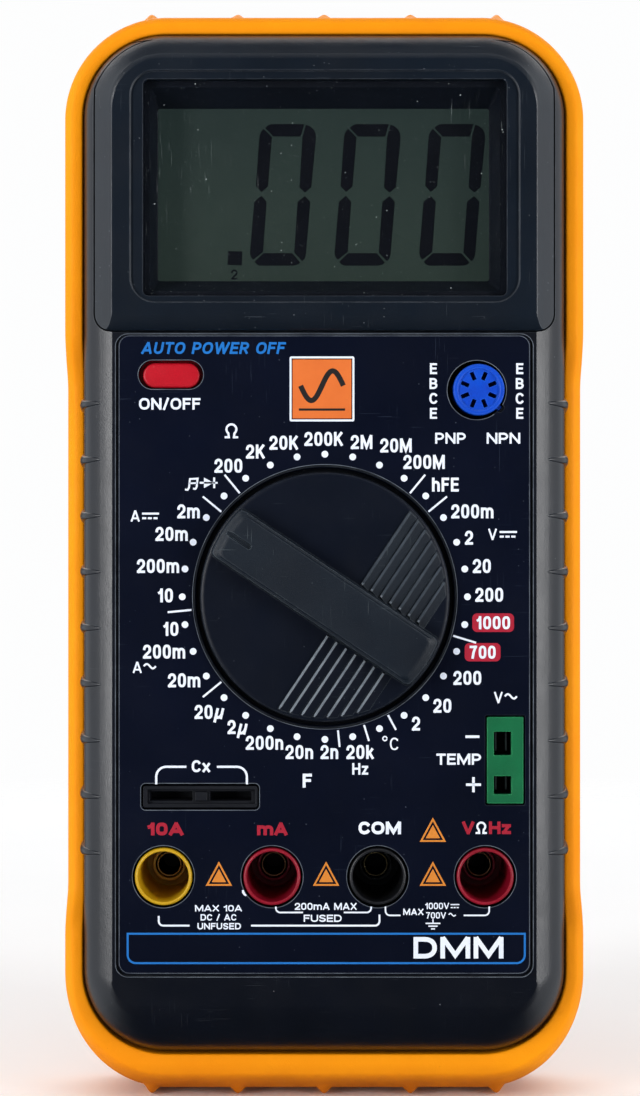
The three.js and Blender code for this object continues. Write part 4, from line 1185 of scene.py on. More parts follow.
# Letter shapes as centre lines in a unit box: (width in cap heights, strokes). A stroke that ends
# with None is closed.
LETTERS = {
    "0": (0.58, [oval(0.5, 0.5, 0.5, 0.5, 0, 345, 30, 0.28) + [None]]),
    "1": (0.36, [[(0.92, 0), (0.92, 1)], [(0.0, 0.73), (0.42, 0.78), (0.8, 0.95)]]),
    "2": (0.58, [oval(0.5, 0.70, 0.5, 0.30, 172, -38, 18, 0.1) + [(0.55, 0.33), (0.16, 0.13), (0.03, 0.0)], [(0, 0), (1, 0)]]),
    "7": (0.56, [[(0, 1), (0.97, 1)], [(0.95, 1), (0.55, 0.5), (0.36, 0.0)]]),
    "K": (0.64, [[(0, 0), (0, 1)], [(0.1, 0.38), (0.92, 1)], [(0.36, 0.6), (0.97, 0)]]),
    "M": (0.84, [[(0, 0), (0, 1)], [(1, 0), (1, 1)], [(0.05, 1), (0.5, 0.06), (0.95, 1)]]),
    "h": (0.56, [[(0, 0), (0, 1)], arch(0, 1)]),
    "n": (0.56, [[(0, 0), (0, 0.72)], arch(0, 1)]),
    "m": (0.90, [[(0, 0), (0, 0.72)], arch(0, 0.5), arch(0.5, 1)]),
    "k": (0.56, [[(0, 0), (0, 1)], [(0.08, 0.26), (0.85, 0.72)], [(0.36, 0.44), (0.95, 0)]]),
    "F": (0.54, [[(0, 0), (0, 1)], [(0, 1), (1, 1)], [(0, 0.52), (0.86, 0.52)]]),
    "E": (0.56, [[(0, 0), (0, 1)], [(0, 1), (1, 1)], [(0, 0.52), (0.9, 0.52)], [(0, 0), (1, 0)]]),
    "H": (0.64, [[(0, 0), (0, 1)], [(1, 0), (1, 1)], [(0, 0.52), (1, 0.52)]]),
    "z": (0.50, [[(0, 0.72), (1, 0.72)], [(0.9, 0.68), (0.1, 0.04)], [(0, 0), (1, 0)]]),
    "P": (0.60, [[(0, 0), (0, 1)], [(0, 1), (0.5, 1)] + oval(0.5, 0.71, 0.5, 0.29, 85, -85, 12) + [(0.5, 0.42), (0, 0.42)]]),
    "R": (0.62, [[(0, 0), (0, 1)], [(0, 1), (0.5, 1)] + oval(0.5, 0.73, 0.46, 0.27, 85, -85, 12) + [(0.5, 0.46), (0, 0.46)], [(0.5, 0.46), (0.95, 0)]]),
    "B": (0.62, [[(0, 0), (0, 1)], [(0, 1), (0.5, 1)] + oval(0.5, 0.76, 0.42, 0.24, 85, -85, 10) + [(0.5, 0.52), (0, 0.52)], [(0.5, 0.52)] + oval(0.5, 0.26, 0.5, 0.26, 85, -85, 10) + [(0.5, 0), (0, 0)]]),
    "D": (0.66, [[(0, 0), (0, 1)], [(0, 1), (0.45, 1)] + oval(0.45, 0.5, 0.55, 0.5, 85, -85, 18, 0.1) + [(0.45, 0), (0, 0)]]),
    "N": (0.68, [[(0, 0), (0, 1)], [(1, 0), (1, 1)], [(0.04, 1), (0.96, 0)]]),
    "T": (0.60, [[(0, 1), (1, 1)], [(0.5, 0), (0.5, 1)]]),
    "C": (0.64, [oval(0.52, 0.5, 0.52, 0.5, 42, 318, 26, 0.14)]),
    "x": (0.54, [[(0.02, 0), (0.98, 0.72)], [(0.02, 0.72), (0.98, 0)]]),
    "X": (0.68, [[(0.04, 0), (0.96, 1)], [(0.04, 1), (0.96, 0)]]),
    "A": (0.74, [[(0.02, 0), (0.46, 1)], [(0.54, 1), (0.98, 0)], [(0.2, 0.26), (0.8, 0.26)]]),
    "V": (0.72, [[(0.02, 1), (0.47, 0)], [(0.53, 0), (0.98, 1)]]),
    "W": (1.02, [[(0.0, 1), (0.24, 0)], [(0.26, 0), (0.48, 1)], [(0.52, 1), (0.74, 0)], [(0.76, 0), (1.0, 1)]]),
    "U": (0.64, [[(0, 1), (0, 0.36)] + oval(0.5, 0.36, 0.5, 0.36, 188, 352, 16, 0.1) + [(1, 0.36), (1, 1)]]),
    "O": (0.72, [oval(0.5, 0.5, 0.5, 0.5, 0, 348, 32, 0.14) + [None]]),
    "S": (0.60, [oval(0.5, 0.76, 0.46, 0.24, 28, 200, 12, 0.1) + [(0.22, 0.58), (0.78, 0.44)] + oval(0.5, 0.25, 0.48, 0.25, 20, -158, 12, 0.1)]),
    "/": (0.40, [[(0.0, -0.04), (1.0, 1.04)]]),
    "µ": (0.60, [[(0.04, -0.30), (0.04, 0.72)], [(0.04, 0.25), (0.12, 0.05), (0.4, 0.0), (0.8, 0.1), (0.93, 0.3)], [(0.95, 0.0), (0.95, 0.72)]]),
}


def text(s, pos, h, wide=1.0, t=0.185, gap=0.125, slant=0.0, width=None, w=PRINT_W, thick=T_PRINT, anchor=0.5):
    """Lettering of cap height h with its middle at pos, drawn with strokes t cap heights thick."""
    names = [c for c in s]
    gaps = gap * (len(s) - 1)
    sizes = {" ": 0.30}
    nat = sum(sizes.get(c) or LETTERS[c][0] for c in names)
    if width is not None:
        wide = (width / h - gaps) / nat
    total = nat * wide + gaps
    x = -total * anchor
    parts = []
    for c in names:
        if c == " ":
            x += 0.30 * wide + gap
            continue
        gw = LETTERS[c][0] * wide
        for k, line in enumerate(LETTERS[c][1]):
            closed = line[-1] is None
            pts = np.array([q for q in line if q is not None], float)
            pts = np.column_stack([t / 2 + pts[:, 0] * (gw - t), t / 2 + pts[:, 1] * (1 - t)])
            if not closed:
                for a, b in ((0, 1), (-1, -2)):
                    d = pts[a] - pts[b]
                    pts[a] = pts[a] + d / np.linalg.norm(d) * t * 0.5
            px = (x + pts[:, 0] + (pts[:, 1] - 0.5) * slant) * h + pos[0]
            py = (pts[:, 1] - 0.5) * h + pos[1]
            parts.append(stroke(np.column_stack([px, py]), t * h, w + 0.006 * k, thick, closed=closed))
        x += gw + gap
    return merge(*parts)


def stroke(points, width, w=PRINT_W, t=T_PRINT, closed=False):
    """Flat line along points, mitred."""
    p = np.asarray(points, float)
    n = len(p)
    sections = []
    for i in range(n):
        if closed:
            a, b = p[(i - 1) % n], p[(i + 1) % n]
            d0, d1 = p[i] - a, b - p[i]
        else:
            d0 = p[i] - p[i - 1] if i else p[1] - p[0]
            d1 = p[i + 1] - p[i] if i + 1 < n else p[i] - p[i - 1]
        d0 /= np.linalg.norm(d0)
        d1 /= np.linalg.norm(d1)
        m = d0 + d1
        m /= np.linalg.norm(m)
        q = np.array([-m[1], m[0]])
        half = width / 2 / max(0.4, float(m @ d0))
        l, r = p[i] + q * half, p[i] - q * half
        sections.append(np.array([(l[0], l[1], w), (r[0], r[1], w), (r[0], r[1], w + t), (l[0], l[1], w + t)]))
    return loop(sections) if closed else loft(sections)


def arc(cx, cy, r, a0, a1, n=10):
    a = np.radians(np.linspace(a0, a1, n))
    return [(cx + r * math.cos(q), cy + r * math.sin(q)) for q in a]


def plate(points, w=PRINT_W, t=T_PRINT):
    return loft([at(points, w), at(points, w + t)])


def dot(cx, cy, r, w=PRINT_W, t=T_PRINT, n=28):
    return plate(circle(cx, cy, r, n), w, t)


def inset(points, d):
    """A convex outline moved in by d."""
    p = np.asarray(points, float)
    n = len(p)
    area = sum(p[i][0] * p[(i + 1) % n][1] - p[(i + 1) % n][0] * p[i][1] for i in range(n))
    s = 1 if area > 0 else -1
    out = []
    for i in range(n):
        a, b, c = p[i - 1], p[i], p[(i + 1) % n]
        e0 = (b - a) / np.linalg.norm(b - a)
        e1 = (c - b) / np.linalg.norm(c - b)
        n0, n1 = s * np.array([-e0[1], e0[0]]), s * np.array([-e1[1], e1[0]])
        m = n0 + n1
        out.append(b + m * d / float(m @ n0 if abs(m @ n0) > 1e-6 else 1))
    return np.array(out)


def polar(r, deg):
    """Point at radius r round the dial, deg clockwise from the top."""
    a = math.radians(deg)
    return (DIAL[0] + r * math.sin(a), DIAL[1] + r * math.cos(a))


def tilde(cx, cy, width, height, line, w=PRINT_W):
    xs = np.linspace(-1, 1, 17)
    return stroke([(cx + x * width / 2, cy + height / 2 * math.sin(-math.pi * x)) for x in xs], line, w)


def dc_mark(x0, x1, y_line, y_dash, line, w=PRINT_W):
    parts = [stroke([(x0, y_line), (x1, y_line)], line, w)]
    step = (x1 - x0) / 3
    for i in range(3):
        a = x0 + i * step + 0.02
        parts.append(stroke([(a, y_dash), (a + step * 0.72, y_dash)], line, w))
    return parts


def omega(cx, cy, h, line):
    """The ohm sign, drawn as a stroke."""
    r = h * 0.40
    top = cy + h / 2 - r
    pts = arc(cx, top, r - line / 2, -52, 232, 26)
    foot = cy - h / 2 + line / 2
    pts = [(cx + r + line * 0.35, foot), (cx + r * 0.42, foot)] + pts + [(cx - r * 0.42, foot), (cx - r - line * 0.35, foot)]
    return stroke(pts, line)


def white_print():
    parts = []
    for k in range(32):
        parts.append(dot(*polar(26.0, 11.25 * k), 0.62))
    for a in (-39.4, -50.6, 39.4, 50.6, -95.6, -129.4, 106.9):
        parts.append(stroke([polar(24.45, a), polar(28.8, a)], 0.36))
    for a in (151.9, 163.0, 174.4):
        parts.append(stroke([polar(24.45, a), polar(27.5, a)], 0.36))
    H = 2.552
    for s, pos in (
        ("200K", (-0.12, 19.19)), ("2M", (6.79, 18.62)), ("20M", (13.06, 18.00)), ("200M", (18.19, 15.00)),
        ("hFE", (22.07, 10.86)), ("200m", (26.99, 5.99)), ("2", (26.37, 1.18)), ("20", (28.72, -3.98)),
        ("200", (30.07, -9.23)), ("200", (26.08, -24.38)), ("20", (21.52, -29.45)), ("2", (16.71, -32.71)),
        ("20k", (6.54, -37.89)), ("2n", (0.92, -37.89)), ("20n", (-4.56, -37.89)), ("200n", (-10.91, -36.21)),
        ("20m", (-25.56, -24.82)), ("200m", (-29.21, -19.59)), ("10", (-27.97, -15.45)), ("10", (-28.96, -9.34)),
        ("200m", (-30.32, -3.98)), ("20m", (-27.84, 1.87)), ("2m", (-24.76, 5.99)), ("200", (-17.49, 14.30)),
        ("2K", (-12.57, 16.89)), ("20K", (-7.39, 18.50)),
    ):
        parts.append(text(s, pos, H))
    for s, pos, n in (("2", (-16.91, -33.33), 0), ("20", (-22.01, -30.58), 0)):
        parts.append(text(s, pos, H))
    for pos in ((-14.83, -33.44), (-19.09, -30.60)):
        parts.append(text("µ", pos, H, 1.0, slant=0.24))
    parts.append(text("C", (12.75, -36.41), 2.279, 1.08, 0.13))
    parts.append(stroke(arc(*(11.04, -35.45), 0.383, 0, 350, 14), 0.237))
    parts.append(text("Hz", (6.54, -40.97), 2.115, 1.1))
    parts.append(text("F", (-3.11, -43.12), 2.552, 1.22, 0.21))
    parts.append(omega(*(-16.94, 20.67), 2.734, 0.383))
    # current and voltage marks
    parts.append(text("A", (-34.48, 5.13), 2.042, 1.1, 0.16))
    parts += dc_mark((-33.24, 99.20)[0], (-30.14, 99.20)[0], (-59.13, 5.57)[1], (-59.13, 4.73)[1], 0.365)
    parts.append(text("V", (30.67, 1.80), 2.042, 1.1, 0.16))
    parts += dc_mark((31.95, 99.20)[0], (35.12, 99.20)[0], (-59.13, 2.22)[1], (-59.13, 1.38)[1], 0.365)
    parts.append(text("A", (-34.11, -22.47), 2.042, 1.1, 0.16))
    parts.append(tilde(*(-31.82, -22.25), 2.188, 0.802, 0.346))
    parts.append(text("V", (31.73, -27.95), 2.042, 1.1, 0.16))
    parts.append(tilde(*(34.01, -27.75), 2.188, 0.802, 0.346))
    # buzzer and diode marks
    lw = 0.346
    parts.append(stroke([(-25.40, 9.95), (-24.93, 9.91), (-24.67, 10.31), (-24.49, 11.88), (-23.10, 11.95), (-23.29, 10.42), (-23.50, 10.09), (-23.94, 10.13)], lw))
    parts.append(stroke([(-24.60, 11.08), (-23.21, 11.15)], 0.292))
    parts.append(stroke([(-22.74, 11.19), (-19.46, 11.19)], 0.328))
    parts.append(plate([(-21.94, 12.13), (-20.22, 11.19), (-21.94, 10.24)]))
    parts.append(stroke([(-20.08, 12.17), (-20.08, 10.20)], 0.365))
    # socket letters
    for x in ((19.90, 99.20)[0], (35.63, 99.20)[0]):
        for s, y in (("E", (-59.13, 32.00)[1]), ("B", (-59.13, 29.29)[1]), ("C", (-59.13, 26.57)[1]), ("E", (-59.13, 23.86)[1])):
            parts.append(text(s, (x, y), 2.005, 1.16, 0.19))
    parts.append(text("PNP", (23.00, 19.32), 2.005, width=5.578, t=0.19))
    parts.append(text("NPN", (32.66, 19.32), 2.005, width=6.125, t=0.19))
    parts.append(text("ON/OFF", (-28.19, 25.59), 2.115, width=11.211, t=0.2))
    parts.append(text("TEMP", (24.50, -39.20), 2.042, width=8.167, t=0.2))
    parts.append(stroke([(25.72, -35.10), (28.29, -35.10)], 0.474))
    parts.append(stroke([(25.83, -43.85), (28.56, -43.85)], 0.474))
    parts.append(stroke([(27.19, -42.48), (27.19, -43.72)], 0.474))
    parts.append(stroke([(27.19, -43.98), (27.19, -45.22)], 0.474))
    parts.append(text("Cx", (-22.50, -40.48), 2.188, 1.2, 0.2))
    r = 1.823
    x0, x1 = (-30.65, 99.20)[0], (-14.12, 99.20)[0]
    y0, y1 = (-59.13, -43.78)[1], (-59.13, -40.59)[1]
    parts.append(stroke([(x0, y0), (x0, y1 - r)] + arc(x0 + r, y1 - r, r, 180, 90, 9)[1:] + [((-25.16, 99.20)[0], y1)], 0.401))
    parts.append(stroke([((-19.59, 99.20)[0], y1)] + arc(x1 - r, y1 - r, r, 90, 0, 9) + [(x1, y0)], 0.401))
    # ratings and their brackets
    r = 0.820
    y = (-59.13, -69.55)[1]
    xa = (-30.19, 99.20)[0]
    parts.append(stroke([(xa, (-59.13, -67.79)[1])] + arc(xa + r, y + r, r, 180, 270, 7) + [((-24.58, 99.20)[0], y)], 0.346))
    xb = (10.06, 99.20)[0]
    parts.append(stroke([((-13.37, 99.20)[0], y)] + arc(xb - r, y + r, r, -90, 0, 7) + [(xb, (-59.13, -67.53)[1])], 0.346))
    y = (-59.13, -67.15)[1]
    xa = (-8.85, 99.20)[0]
    parts.append(stroke([(xa, (-59.13, -66.07)[1])] + arc(xa + r, y + r, r, 180, 270, 7) + [((-3.89, 99.20)[0], y)], 0.292))
    xb = (8.54, 99.20)[0]
    parts.append(stroke([((3.55, 99.20)[0], y)] + arc(xb - r, y + r, r, -90, 0, 7) + [(xb, (-59.13, -66.07)[1])], 0.292))
    y = (-59.13, -67.68)[1]
    xa, xb = (11.15, 99.20)[0], (30.06, 99.20)[0]
    parts.append(stroke([(xa, (-59.13, -66.05)[1])] + arc(xa + r, y + r, r, 180, 270, 7) + [((13.89, 99.20)[0], y)], 0.292))
    parts.append(stroke([((25.41, 99.20)[0], y)] + arc(xb - r, y + r, r, -90, 0, 7) + [(xb, (-59.13, -66.05)[1])], 0.292))
    small = 1.167
    parts.append(text("MAX 10A", (-19.29, -66.38), small, width=8.568, t=0.2))
    parts.append(text("DC / AC", (-19.29, -68.04), small, width=6.563, t=0.2))
    parts.append(text("UNFUSED", (-19.17, -69.65), small, width=7.930, t=0.2))
    parts.append(text("200mA MAX", (0.27, -66.04), 1.276, width=11.303, t=0.19))
    parts.append(text("FUSED", (-0.30, -68.21), 1.313, width=6.927, t=0.19))
    parts.append(text("MAX", (16.24, -67.04), small, width=3.737, t=0.2))
    parts.append(text("1000V", (20.58, -65.96), small, width=4.375, t=0.17, gap=0.1))
    parts += dc_mark((23.02, 99.20)[0], (24.62, 99.20)[0], (-59.13, -65.71)[1], (-59.13, -66.26)[1], 0.201)
    parts.append(text("700V", (20.36, -67.68), small, width=3.646, t=0.17, gap=0.1))
    parts.append(tilde(*(23.31, -67.57), 1.276, 0.474, 0.219))
    # a chip out of the print at one jack
    parts.append(plate([(-15.03, -63.08), (-14.72, -63.03), (-14.46, -63.63), (-14.17, -64.03), (-14.35, -64.21), (-14.72, -63.96), (-14.99, -63.59)][::-1]))
    parts.append(stroke([(19.81, -68.37), (19.81, -69.06)], 0.237))
    parts.append(stroke([(18.46, -69.14), (21.16, -69.14)], 0.255))
    parts.append(stroke([(18.97, -69.65), (20.65, -69.65)], 0.237))
    parts.append(stroke([(19.45, -70.14), (20.17, -70.14)], 0.237))
    parts.append(text("COM", (10.11, -51.74), 2.297, width=7.748, t=0.25, gap=0.1))
    parts.append(omega(*(28.61, -51.71), 2.261, 0.365))
    parts.append(text("DMM", (24.46, -73.58), 3.919, width=16.407, t=0.215, gap=0.16))
    # white border of the emblem
    sq = rrect(*(-6.15, 99.20)[:1], *(5.30, 99.20)[:1], (-59.13, 22.56)[1], (-59.13, 34.05)[1], 0.15, None, 3)
    parts.append(stroke(sq, 0.36, closed=True))
    return merge(*parts)


def blue_print():
    parts = [text("AUTO POWER OFF", (-20.19, 35.76), 2.151, width=26.069, t=0.2, gap=0.13, slant=0.2)]
    x0, x1 = (-35.86, 99.20)[0], (36.55, 99.20)[0]
    y0, y1 = (-59.13, -76.39)[1], (-59.13, -71.03)[1]
    r = 1.5
    pts = [(x1, y1), (x0, y1)] + arc(x0 + r, y0 + r, r, 180, 270, 8) + arc(x1 - r, y0 + r, r, 270, 360, 8)
    parts.append(stroke(pts, 0.36, closed=True))
    return merge(*parts)


def red_print():
    parts = []
    parts.append(plate(rrect((26.99, 99.20)[0], (34.58, 99.20)[0], (-59.13, -16.01)[1], (-59.13, -12.62)[1], 0.85, None, 6), t=0.02))
    parts.append(plate(rrect((25.59, 99.20)[0], (32.12, 99.20)[0], (-59.13, -21.37)[1], (-59.13, -18.04)[1], 0.85, None, 6), t=0.02))
    parts.append(text("10A", (-28.94, -51.93), 2.333, width=6.563, t=0.28, gap=0.09))
    parts.append(text("mA", (-9.49, -51.93), 2.297, width=5.560, t=0.27, gap=0.07))
    parts.append(text("V", (26.23, -51.71), 2.297, width=2.261, t=0.25))
    parts.append(text("Hz", (32.01, -51.71), 2.297, width=4.011, t=0.25, gap=0.1))
    return merge(*parts)


def box_digits():
    return merge(
        text("1000", (30.82, -14.32), 2.370, width=6.107, t=0.19),
        text("700", (28.87, -19.70), 2.370, width=4.740, t=0.19),
    )


def triangles():
    out, line = [], []
    for c in ((-19.22, -60.06), (0.32, -60.06), (19.79, -60.06), (19.79, -52.05)):
        hw, hh = 2.406, 2.224
        tri = np.array([(c[0] - hw, c[1] - hh), (c[0] + hw, c[1] - hh), (c[0], c[1] + hh)])
        out.append(stroke(inset(tri, 0.16), 0.32, closed=True))
        out.append(plate(inset(tri, 0.66)))
    return merge(*out)


def emblem():
    x0, x1 = (-5.79, 99.20)[0], (4.93, 99.20)[0]
    y0, y1 = (-59.13, 22.93)[1], (-59.13, 33.68)[1]
    return plate(rrect(x0, x1, y0, y1, 0.1, None, 3), t=0.02)


def emblem_mark():
    cx, cy = (-0.43, 28.29)
    xs = np.linspace(-1, 1, 61)
    wave = [(cx + 3.9 * x, cy + 0.6 + 2.7 * math.sin(math.pi * x)) for x in xs]
    w = PRINT_W + 0.01
    return merge(
        stroke(wave, 0.95, w=w, t=0.03),
        stroke([(cx - 4.2, cy - 3.75), (cx + 4.2, cy - 3.75)], 0.42, w=w, t=0.03),
    )


# ---------------------------------------------------------------- display
LCD_W = flat_box("lcd_panel")[5]
SEGMENTS = (
    # top, upper right, lower right, bottom, lower left, upper left
    [(-10.923, 77.090), (-10.546, 77.501), (-9.826, 77.843), (-3.693, 77.843), (-4.379, 75.513), (-9.450, 75.513)],
    [(-3.385, 77.706), (-2.700, 77.466), (-2.014, 76.884), (-1.638, 76.130), (-1.535, 75.274), (-2.391, 66.125), (-3.556, 65.132), (-4.618, 66.057), (-4.036, 75.445)],
    [(-3.591, 64.481), (-2.597, 63.453), (-3.385, 53.790), (-3.591, 52.968), (-4.070, 52.420), (-5.578, 53.996), (-4.927, 63.453)],
    [(-4.447, 52.146), (-4.961, 51.769), (-5.715, 51.598), (-12.019, 51.598), (-12.499, 51.837), (-12.910, 52.317), (-11.266, 53.927), (-5.955, 53.927)],
    [(-13.184, 52.694), (-13.630, 53.311), (-13.767, 53.996), (-12.979, 63.418), (-11.677, 64.549), (-10.683, 63.453), (-11.334, 54.133)],
    [(-11.608, 65.234), (-12.670, 66.331), (-12.019, 75.445), (-11.814, 76.199), (-11.266, 76.952), (-9.689, 75.376), (-10.443, 66.262)],
)
DIGIT_STEP = ((-4.567, 82.298)[0] - (-20.243, 82.298)[0])


def lcd_digits():
    parts = []
    for k in range(3):
        for seg in SEGMENTS:
            parts.append(plate([(u + k * DIGIT_STEP, v) for u, v in seg], LCD_W - 0.01, 0.05))
    sq = [(-17.844, 54.304), (-15.172, 54.236), (-15.274, 51.666), (-17.913, 51.735)]
    parts.append(plate(sq, LCD_W - 0.01, 0.05))
    parts.append(text("2", ((-16.679, 82.298)[0], (-20.243, 49.953)[1]), 1.85, 1.05, 0.15, w=LCD_W - 0.01, thick=0.05))
    return merge(*parts)


def lcd_part():
    b = flat_box("lcd_panel")
    glass = slab(rounded(b[0], b[1], b[2], b[3], 0.3, 4), b[4], b[5], 0.05, 0.05)
    return glass


# ---------------------------------------------------------------- materials
def rubber():
    m = Mat("holster_rubber")
    patch = m.step(m.noise(34.0, 4.0, 0.6), 0.3, 0.7)
    colour = m.mix(patch, C(244, 142, 0), C(253, 156, 2))
    fine = m.noise(3300.0, 3.0, 0.65)
    colour = m.mix(m.step(fine, 0.4, 0.8, 0.0, 0.22), colour, C(255, 166, 34))
    # lighter on the crest, partly rubbed wear and partly a painted highlight; painted shade low on the walls, darker
    # towards the foot
    colour = m.mix(m.math("MULTIPLY", m.wear_and_highlight(0.0004), 0.35), colour, C(255, 190, 78))
    sep = m.nt.nodes.new("ShaderNodeSeparateXYZ")
    m.link(m.tc, sep.inputs[0])
    low = m.step(sep.outputs[2], 0.0075, 0.0028)
    colour = m.mix(m.math("MULTIPLY", low, m.step(m.noise(160.0, 3.0), 0.2, 0.8, 0.35, 0.75)), colour, C(168, 78, 6))
    d = m.math("MAXIMUM", m.specks(260.0, 0.04, 0.10), m.specks(700.0, 0.06, 0.05, 1.3))
    colour = m.mix(m.math("MULTIPLY", d, 0.55), colour, C(150, 84, 20))
    m.set(color=colour, rough=m.step(m.noise(120.0, 4.0), 0.3, 0.7, 0.5, 0.64), spec=0.13)
    m.bump([(fine, 0.30, 0.00016), (m.noise(210.0, 3.0), 0.12, 0.0008)])
    return m.m


def lens_material():
    m = Mat("window_clear")
    haze = m.step(m.noise(45.0, 4.0, 0.65), 0.35, 0.75, 0.05, 0.10)
    dust = m.math("MAXIMUM", m.specks(520.0, 0.09, 0.22), m.specks(1500.0, 0.13, 0.08, 2.2))
    big = m.specks(120.0, 0.035, 0.12, 5.0)
    line = m.scratches((7, 40, 12), 7000.0, 160.0, 0.742, 55.0)
    mark = m.math("MAXIMUM", m.math("MAXIMUM", dust, big), m.math("MULTIPLY", line, 0.6))
    alpha = m.math("MAXIMUM", haze, m.math("MULTIPLY", mark, 0.62))
    colour = m.mix(mark, C(26, 32, 38), C(176, 186, 186))
    m.set(color=colour, rough=m.step(m.noise(80.0, 3.0), 0.3, 0.7, 0.05, 0.12), alpha=alpha, spec=0.5)
    m.bump([(m.noise(35.0, 2.0), 0.03, 0.0008)])
    return m.m


def lcd_material():
    m = Mat("lcd_glass")
    sep = m.nt.nodes.new("ShaderNodeSeparateXYZ")
    m.link(m.tc, sep.inputs[0])
    # painted shade: the cell is darker towards the top, as in the shadow of the case
    down = m.step(sep.outputs[2], 0.152, 0.184)
    colour = m.mix(down, C(*LCD_LOW), C(*LCD_TOP_SHADE))
    colour = m.mix(m.step(m.noise(30.0, 3.0), 0.3, 0.7, 0.0, 0.5), colour, C(*LCD_MID))
    grain = m.noise(6000.0, 2.0)
    colour = m.mix(m.step(grain, 0.4, 0.8, 0.0, 0.12), colour, C(96, 112, 100))
    m.set(color=colour, rough=m.step(m.noise(300.0, 2.0), 0.3, 0.7, 0.28, 0.36), spec=0.3)
    # painted glow: the cell gives off a little light of its own, darker towards the top, to even out the shadow of the
    # case on it
    m.put(m.b.inputs["Emission Color"], m.mix(down, C(30, 40, 36), C(26, 37, 35)))
    m.b.inputs["Emission Strength"].default_value = 0.85
    m.bump([(grain, 0.05, 0.00005)])
    return m.m


def ink(name, a, b, rough=0.5, worn=0.25):
    m = Mat(name)
    colour = m.mix(m.step(m.noise(150.0, 3.0), 0.25, 0.75), C(*a), C(*b))
    chips = m.step(m.noise(2600.0, 3.0, 0.7), 0.66, 0.72)
    colour = m.mix(m.math("MULTIPLY", chips, worn), colour, C(30, 36, 52))
    m.set(color=colour, rough=m.step(m.noise(900.0, 2.0), 0.3, 0.7, rough, rough + 0.12), spec=0.4)
    m.bump([(m.noise(3000.0, 2.0), 0.08, 0.00005)])
    return m.m
